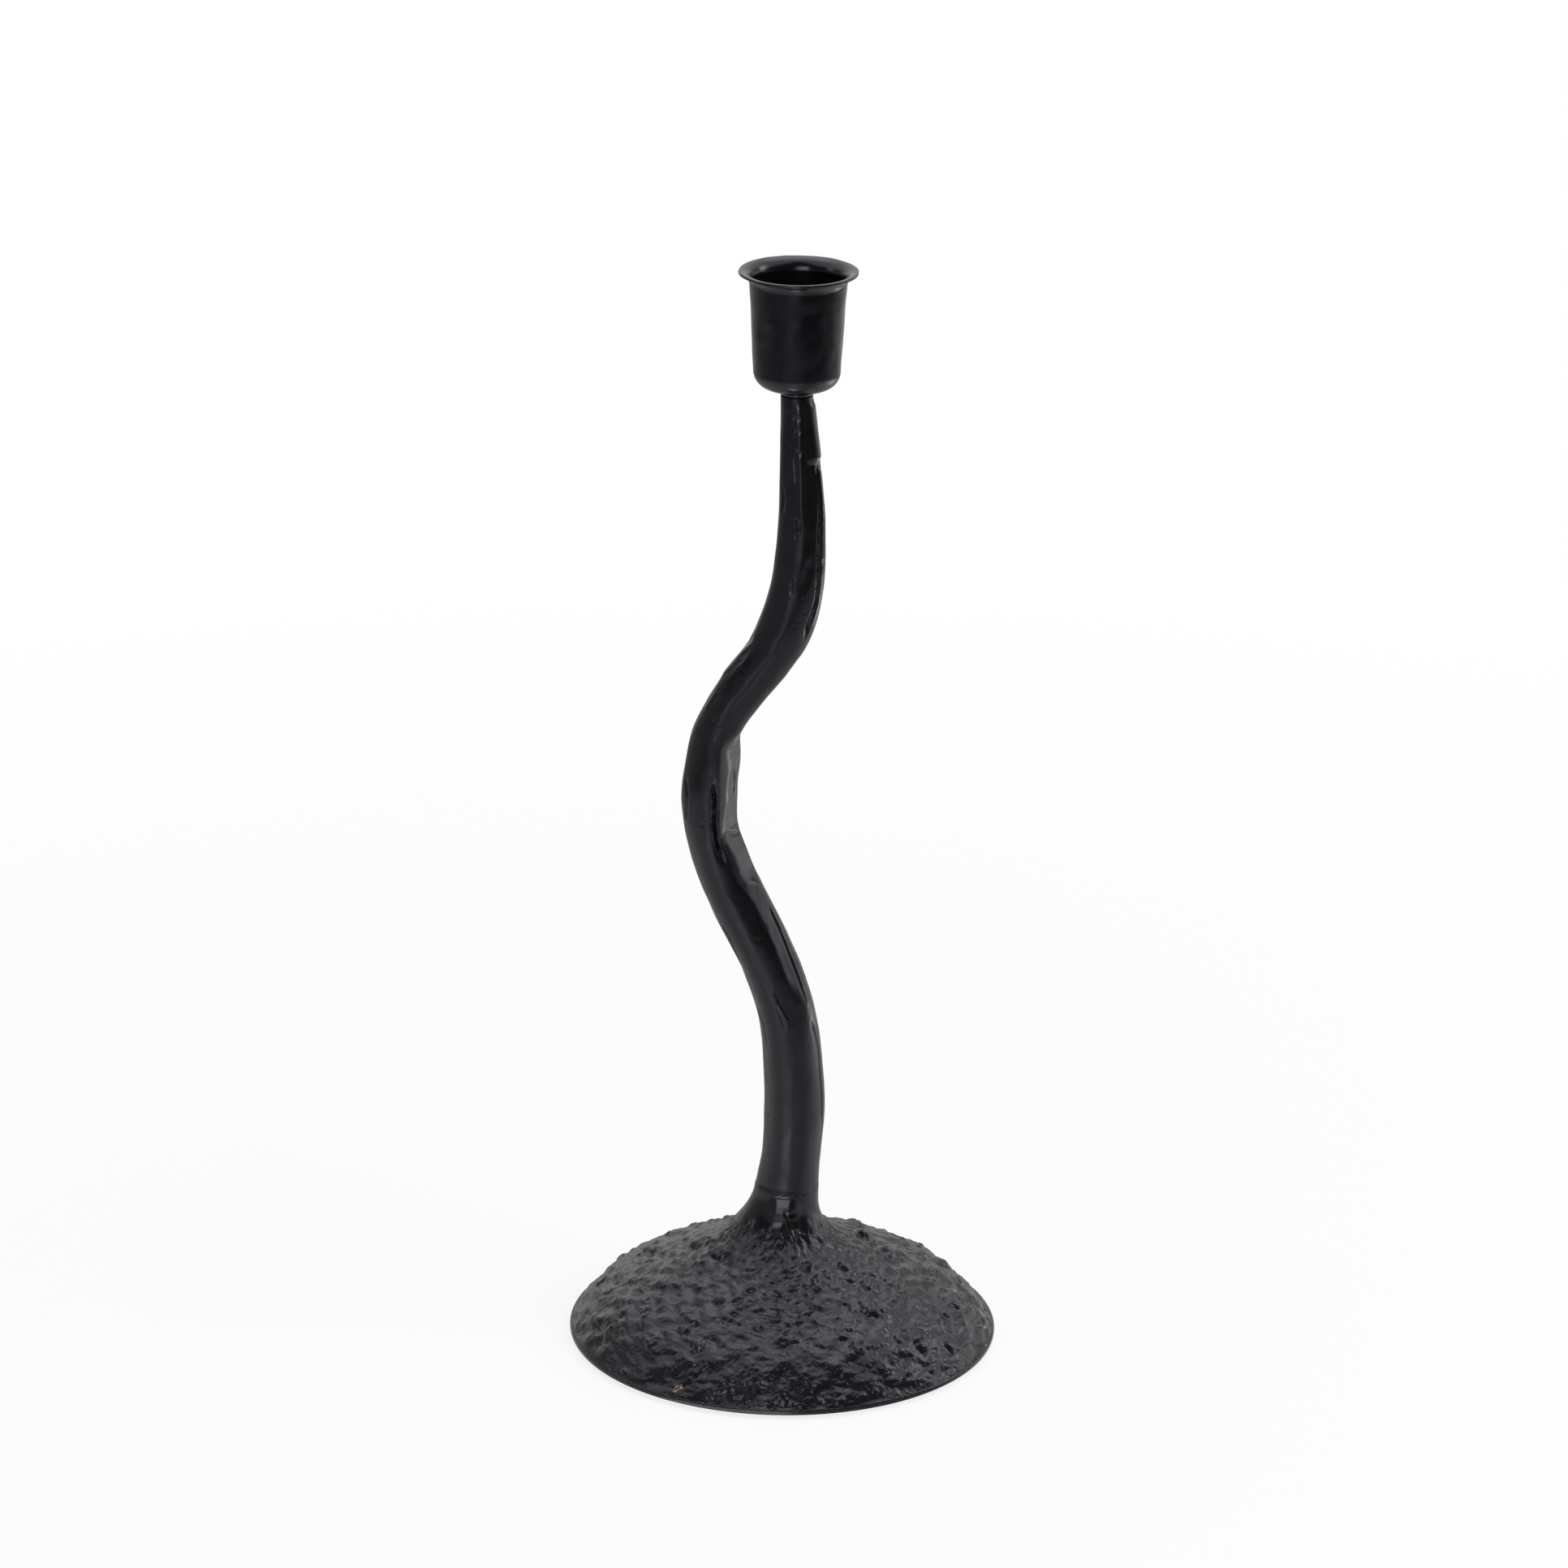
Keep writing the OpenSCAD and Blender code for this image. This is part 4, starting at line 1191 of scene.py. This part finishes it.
# Brightness of the floor in its dark belt, and at each distance in mm, as (direction, value)
DARK_BELT = [
    (-180, 0.35), (-137, 0.36), (-106, 0.25), (-81, 0.19), (-60, 0.13), (-41, 0.12), (-32, 0.13),
    (-26, 0.2), (-16, 0.19), (-6, 0.06), (15, 0.01), (47, 0.01), (67, 0.06), (89, 0.14),
    (116, 0.3), (144, 0.5), (180, 0.5),
]
FLOORS = [
    (170, [
        (-180, 0.4), (-137, 0.4), (-106, 0.55), (-81, 0.65), (-60, 0.65), (-41, 0.68), (-23, 0.8),
        (-6, 0.72), (11, 0.57), (29, 0.46), (47, 0.45), (67, 0.65), (89, 0.75), (116, 0.6),
        (144, 0.5), (180, 0.4),
    ]),
    (240, [
        (-180, 0.5), (-137, 0.5), (-106, 0.7), (-81, 0.72), (-60, 0.66), (-41, 0.7), (-23, 0.8),
        (-6, 0.72), (11, 0.57), (29, 0.46), (47, 0.5), (67, 0.8), (89, 1.1), (116, 0.85),
        (144, 0.5), (180, 0.5),
    ]),
    (300, [
        (-180, 0.5), (-137, 0.5), (-106, 0.65), (-81, 0.65), (-60, 0.66), (-41, 0.7), (-23, 0.8),
        (-14, 1.3), (-8, 1.5), (0, 1.4), (9, 0.7), (20, 0.46), (47, 0.5), (67, 0.8), (89, 1.15),
        (116, 0.9), (144, 0.6), (180, 0.5),
    ]),
    (430, [
        (-180, 0.45), (-137, 0.45), (-106, 0.6), (-81, 0.6), (-60, 0.6), (-41, 0.55), (-23, 0.55),
        (-8, 0.8), (3, 0.7), (14, 0.5), (21, 0.35), (47, 0.45), (67, 0.8), (89, 1.1), (100, 1.6),
        (108, 3.2), (122, 3.2), (130, 1.2), (140, 0.55), (150, 0.5), (180, 0.45),
    ]),
    (600, [
        (-180, 0.35), (-137, 0.36), (-106, 0.27), (-81, 0.4), (-60, 0.38), (-23, 0.4), (-6, 0.4),
        (4, 0.4), (9, 0.45), (15, 0.42), (21, 0.3), (47, 0.35), (67, 0.5), (89, 0.9),
        (104, 1.9), (112, 2.4), (121, 2.4), (130, 1.1), (144, 0.65), (180, 0.5),
    ]),
    (680, DARK_BELT),
    (900, DARK_BELT),
    (1050, [
        (-180, 0.4), (-137, 0.45), (-106, 0.34), (-81, 0.3), (-60, 0.3), (-41, 0.38), (-30, 0.55),
        (-22, 1.1), (-14, 1.4), (-4, 1.6), (7, 0.3), (29, 0.04), (47, 0.04), (67, 0.1),
        (89, 0.3), (104, 0.7), (116, 1.1), (144, 0.9), (180, 0.5),
    ]),
    (1450, [
        (-180, 0.5), (-137, 0.5), (-106, 0.35), (-81, 0.32), (-60, 0.34), (-41, 0.38), (-22, 0.45),
        (-4, 0.65), (15, 0.15), (47, 0.04), (67, 0.1), (89, 0.4), (104, 0.9), (122, 1.1),
        (144, 0.7), (180, 0.6),
    ]),
]
# Brightness low on the walls
WALLS = [
    (-180, 0.85), (-150, 0.9), (-125, 0.4), (-100, 0.3), (-30, 0.3), (-8, 0.3), (10, 0.15), (35, 0.05),
    (50, 0.06), (70, 0.12), (88, 0.4), (98, 1.15), (122, 1.2), (138, 0.5), (150, 0.6), (180, 0.85),
]
# Brightness further up the walls, and the height in degrees from which it holds
HIGH_WALLS = [
    (-180, 0.85), (-150, 0.8), (-130, 0.3), (-110, 0.1), (110, 0.08), (130, 0.3), (150, 0.6),
    (180, 0.85),
]
HIGH_FROM = 23
# Height in degrees from which the cloth overhead is lit, by direction, and how bright it is
LIT_FROM = [(-180, 30), (-90, 40), (-45, 54), (0, 82), (45, 58), (90, 42), (180, 30)]
TOP = 1.05
# A narrow bright gap in the cloth in front: directions and heights in degrees, and brightness
GAP_TURN = (-22, 0)
GAP_UP = (7, 40)
GAP_GLOW = 3.0
# A bright strip on the floor close to the foot: directions, distances and brightness
NEAR_TURN = (-33, 3)
NEAR_REACH = (62, 136)
NEAR_GLOW = 3.2
# Lamps behind the cloth: direction, height, radius in degrees, brightness
LAMPS = [(-93, 33, 8, 1.3), (105, 36, 11, 3.8), (180, 71, 20, 2.2)]
# Softness of these edges in degrees, and of the strip's ends in mm
SOFT = 8
LIT_SOFT = 12
GAP_SIDE_SOFT = 6
NEAR_SIDE_SOFT = 5
NEAR_END_SOFT = 12


def by_turn(rows, turn):
    """A table's value at a direction."""
    return np.interp(turn, *zip(*rows))


def between(value, low, high, soft):
    """1 between low and high, with soft ends."""
    return switch(value, low, soft) * switch(high, value, soft)


def tent_glow(turn, up, reach):
    """Brightness of the studio in a direction; reach is the distance out along the floor."""
    floor = by_turn(FLOORS[0][1], turn)
    for (start, rows), (end, more) in zip(FLOORS, FLOORS[1:]):
        floor = mix(floor, by_turn(more, turn), grow(reach, start, end - start))
    near = between(turn, *NEAR_TURN, NEAR_SIDE_SOFT) * between(reach, *NEAR_REACH, NEAR_END_SOFT)
    floor = mix(floor, NEAR_GLOW, near)
    gap = between(turn, *GAP_TURN, GAP_SIDE_SOFT) * between(up, *GAP_UP, SOFT)
    wall = mix(by_turn(WALLS, turn), by_turn(HIGH_WALLS, turn), switch(up, HIGH_FROM, SOFT))
    wall = np.maximum(wall, GAP_GLOW * gap)
    wall = mix(wall, TOP, switch(up, by_turn(LIT_FROM, turn), LIT_SOFT))
    a = np.radians(up)
    for side, height, radius, glow in LAMPS:
        b = math.radians(height)
        near = np.sin(a) * math.sin(b) + np.cos(a) * math.cos(b) * np.cos(np.radians(turn - side))
        off = np.degrees(np.arccos(np.clip(near, -1, 1)))
        wall = mix(wall, np.maximum(wall, glow), switch(radius, off, SOFT))
    return np.where(up <= 0, floor, wall)


def build_tent():
    """Floor and walls of the light tent, seen only in the object's reflections."""
    turns = np.arange(-180, 180, TENT_STEP)
    t = np.radians(turns)
    rows = [(r, TENT_FLOOR_Z, 0.0) for r in np.linspace(TENT_FROM, TENT_R, TENT_RINGS)]
    for up in np.arange(TENT_STEP, TENT_END, TENT_STEP):
        a = math.radians(up)
        rows.append((TENT_R * math.cos(a), TENT_R * math.sin(a), up))
    rings = [np.stack([r * np.sin(t), -r * np.cos(t), np.full(len(t), z)], -1) for r, z, up in rows]
    glow = [tent_glow(turns, np.full(len(t), up), np.full(len(t), r)) for r, z, up in rows]
    tent = capped("light_tent", rings, 180)
    values = np.concatenate(glow + [np.array([TENT_MIDDLE, TOP])]).astype(np.float32)
    tent.data.attributes.new("glow", "FLOAT", "POINT").data.foreach_set("value", values)
    material, tree, shader = new_material("tent_cloth")
    tree.nodes.remove(shader)
    level = add(tree, "ShaderNodeAttribute", attribute_name="glow").outputs["Fac"]
    light = add(tree, "ShaderNodeEmission", Strength=level)
    tree.links.new(light.outputs[0], tree.nodes["Material Output"].inputs["Surface"])
    material.cycles.emission_sampling = "NONE"
    tent.data.materials.append(material)
    for ray in ("camera", "diffuse", "transmission", "volume_scatter", "shadow"):
        setattr(tent, "visible_" + ray, False)


# White floor in metres, and how much of its white near the object is plain, with the distances
# in mm over which that grows to all of it
FLOOR_HALF = 8.0
FLOOR_Z = -0.0002
PLAIN_SHARE = 0.82
SHADOW_FROM = 150
SHADOW_TO = 700
# Light that the world gives, and the height in mm that the soft lamps are aimed at
WORLD_LIGHT = 0.45
LAMPS_AIM = (0, 0, 120)


def build_floor():
    """A white floor that keeps a faint shadow of the object, and is plain white further out."""
    mesh = bpy.data.meshes.new("floor")
    corners = [(-1, -1), (1, -1), (1, 1), (-1, 1)]
    mesh.from_pydata([(x * FLOOR_HALF, y * FLOOR_HALF, FLOOR_Z) for x, y in corners], [], [(0, 1, 2, 3)])
    floor = put("floor", mesh)
    material, tree, shader = new_material("white_floor")
    tree.nodes.remove(shader)
    cloth = add(tree, "ShaderNodeBsdfDiffuse", Color=(0.85, 0.85, 0.85, 1)).outputs[0]
    white = add(tree, "ShaderNodeEmission", Strength=1.0).outputs[0]
    place = add(tree, "ShaderNodeTexCoord").outputs["Object"]
    away = add(tree, "ShaderNodeVectorMath", place, operation="LENGTH").outputs["Value"]
    share = add(
        tree, "ShaderNodeMapRange", Value=away, From_Min=SHADOW_FROM * MM,
        From_Max=SHADOW_TO * MM, To_Min=PLAIN_SHARE, To_Max=1.0,
    ).outputs["Result"]
    seen = add(tree, "ShaderNodeMixShader", share, cloth, white).outputs[0]
    path = add(tree, "ShaderNodeLightPath").outputs["Is Camera Ray"]
    final = add(tree, "ShaderNodeMixShader", path, cloth, seen)
    tree.links.new(final.outputs[0], tree.nodes["Material Output"].inputs["Surface"])
    mesh.materials.append(material)
    floor.visible_glossy = False


def build_world():
    """White to the camera and in reflections, a plain level for the light that it gives."""
    world = bpy.data.worlds.new("studio")
    bpy.context.scene.world = world
    world.use_nodes = True
    tree = world.node_tree
    tree.nodes.clear()
    plain = add(tree, "ShaderNodeBackground", Color=(1, 1, 1, 1), Strength=WORLD_LIGHT).outputs[0]
    white = add(tree, "ShaderNodeBackground", Color=(1, 1, 1, 1), Strength=1.0).outputs[0]
    path = add(tree, "ShaderNodeLightPath").outputs
    seen = path["Is Camera Ray"]
    for ray in ("Is Glossy Ray", "Is Transmission Ray"):
        seen = add(tree, "ShaderNodeMath", seen, path[ray], operation="MAXIMUM").outputs[0]
    blend = add(tree, "ShaderNodeMixShader", seen, plain, white)
    add(tree, "ShaderNodeOutputWorld", Surface=blend.outputs[0])


def build_lamp(name, spot, size, watts):
    """A soft area lamp that lights without being mirrored; the tent is what is mirrored."""
    light = bpy.data.lights.new(name, "AREA")
    light.shape = "DISK"
    light.size = size
    light.energy = watts
    lamp = put(name, light)
    spot, target = Vector(spot) * MM, Vector(LAMPS_AIM) * MM
    lamp.location = spot
    lamp.rotation_euler = (target - spot).to_track_quat("-Z", "Y").to_euler()
    lamp.visible_glossy = False


def build_camera():
    """The photograph's camera."""
    data = bpy.data.cameras.new("camera")
    data.lens = LENS_MM
    data.sensor_width = SENSOR_MM
    data.clip_end = 50
    camera = put("camera", data)
    turn = Matrix([CAM_RIGHT, CAM_UP, -CAM_AHEAD]).transposed().to_4x4()
    camera.matrix_world = Matrix.Translation(Vector(CAMERA_AT) * MM) @ turn
    bpy.context.scene.camera = camera


def build_object():
    """Every piece of the holder, each in place of its CAD node."""
    rough, satin = rough_black_iron(), smooth_black_iron()
    sheet = black_sheet("black_sheet", 0.17, 0.23)
    bright_sheet = black_sheet("black_sheet_bright", 0.12, 0.18)
    steel, pad = zinc_steel(), felt()
    foot = mount(build_foot(), rough, "rough_black_iron", "base_casting")
    paint_neck(foot, satin)
    mount(build_stem(), satin, "smooth_black_iron", "stem_casting")
    mount(build_collar(), bright_sheet, "black_sheet", "cup_collar")
    mount(build_cup(), sheet, "black_sheet", "candle_cup")
    mount(build_bolt(), steel, "zinc_steel", "tie_bolt")
    for node, hole_r, bevel in (("tie_washer", 3.3, 0.2), ("cup_washer", 2.3, 0.12)):
        mount(build_washer(node, hole_r, bevel), steel, "zinc_steel", node)
    mount(build_screw(), steel, "zinc_steel", "cup_screw")
    for side in ("front", "right", "back", "left"):
        node = "felt_pad_" + side
        mount(build_pad("felt_disc_" + side, node), pad, "felt", node)
    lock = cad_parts["tie_lock_washer"]
    lock.data.materials.clear()
    lock.data.materials.append(steel)


def paint_neck(foot, satin):
    """Gives the smooth part of the foot the stem's finish."""
    foot.data.materials.append(satin)
    low = (NECK_TOP_Z - NECK_H * mix(GRAIN_START, GRAIN_FULL, 0.5)) * MM
    for face in foot.data.polygons:
        x, y, z = face.center
        if z > low and math.hypot(x, y) > NECK_SKIN_R * MM:
            face.material_index = 1


bpy.context.scene.view_settings.view_transform = "Standard"
build_world()
build_floor()
build_tent()
build_lamp("key_lamp", (1150, -450, 1150), 1.1, 14)
build_lamp("top_lamp", (-200, 150, 1600), 1.3, 8)
build_camera()
build_object()
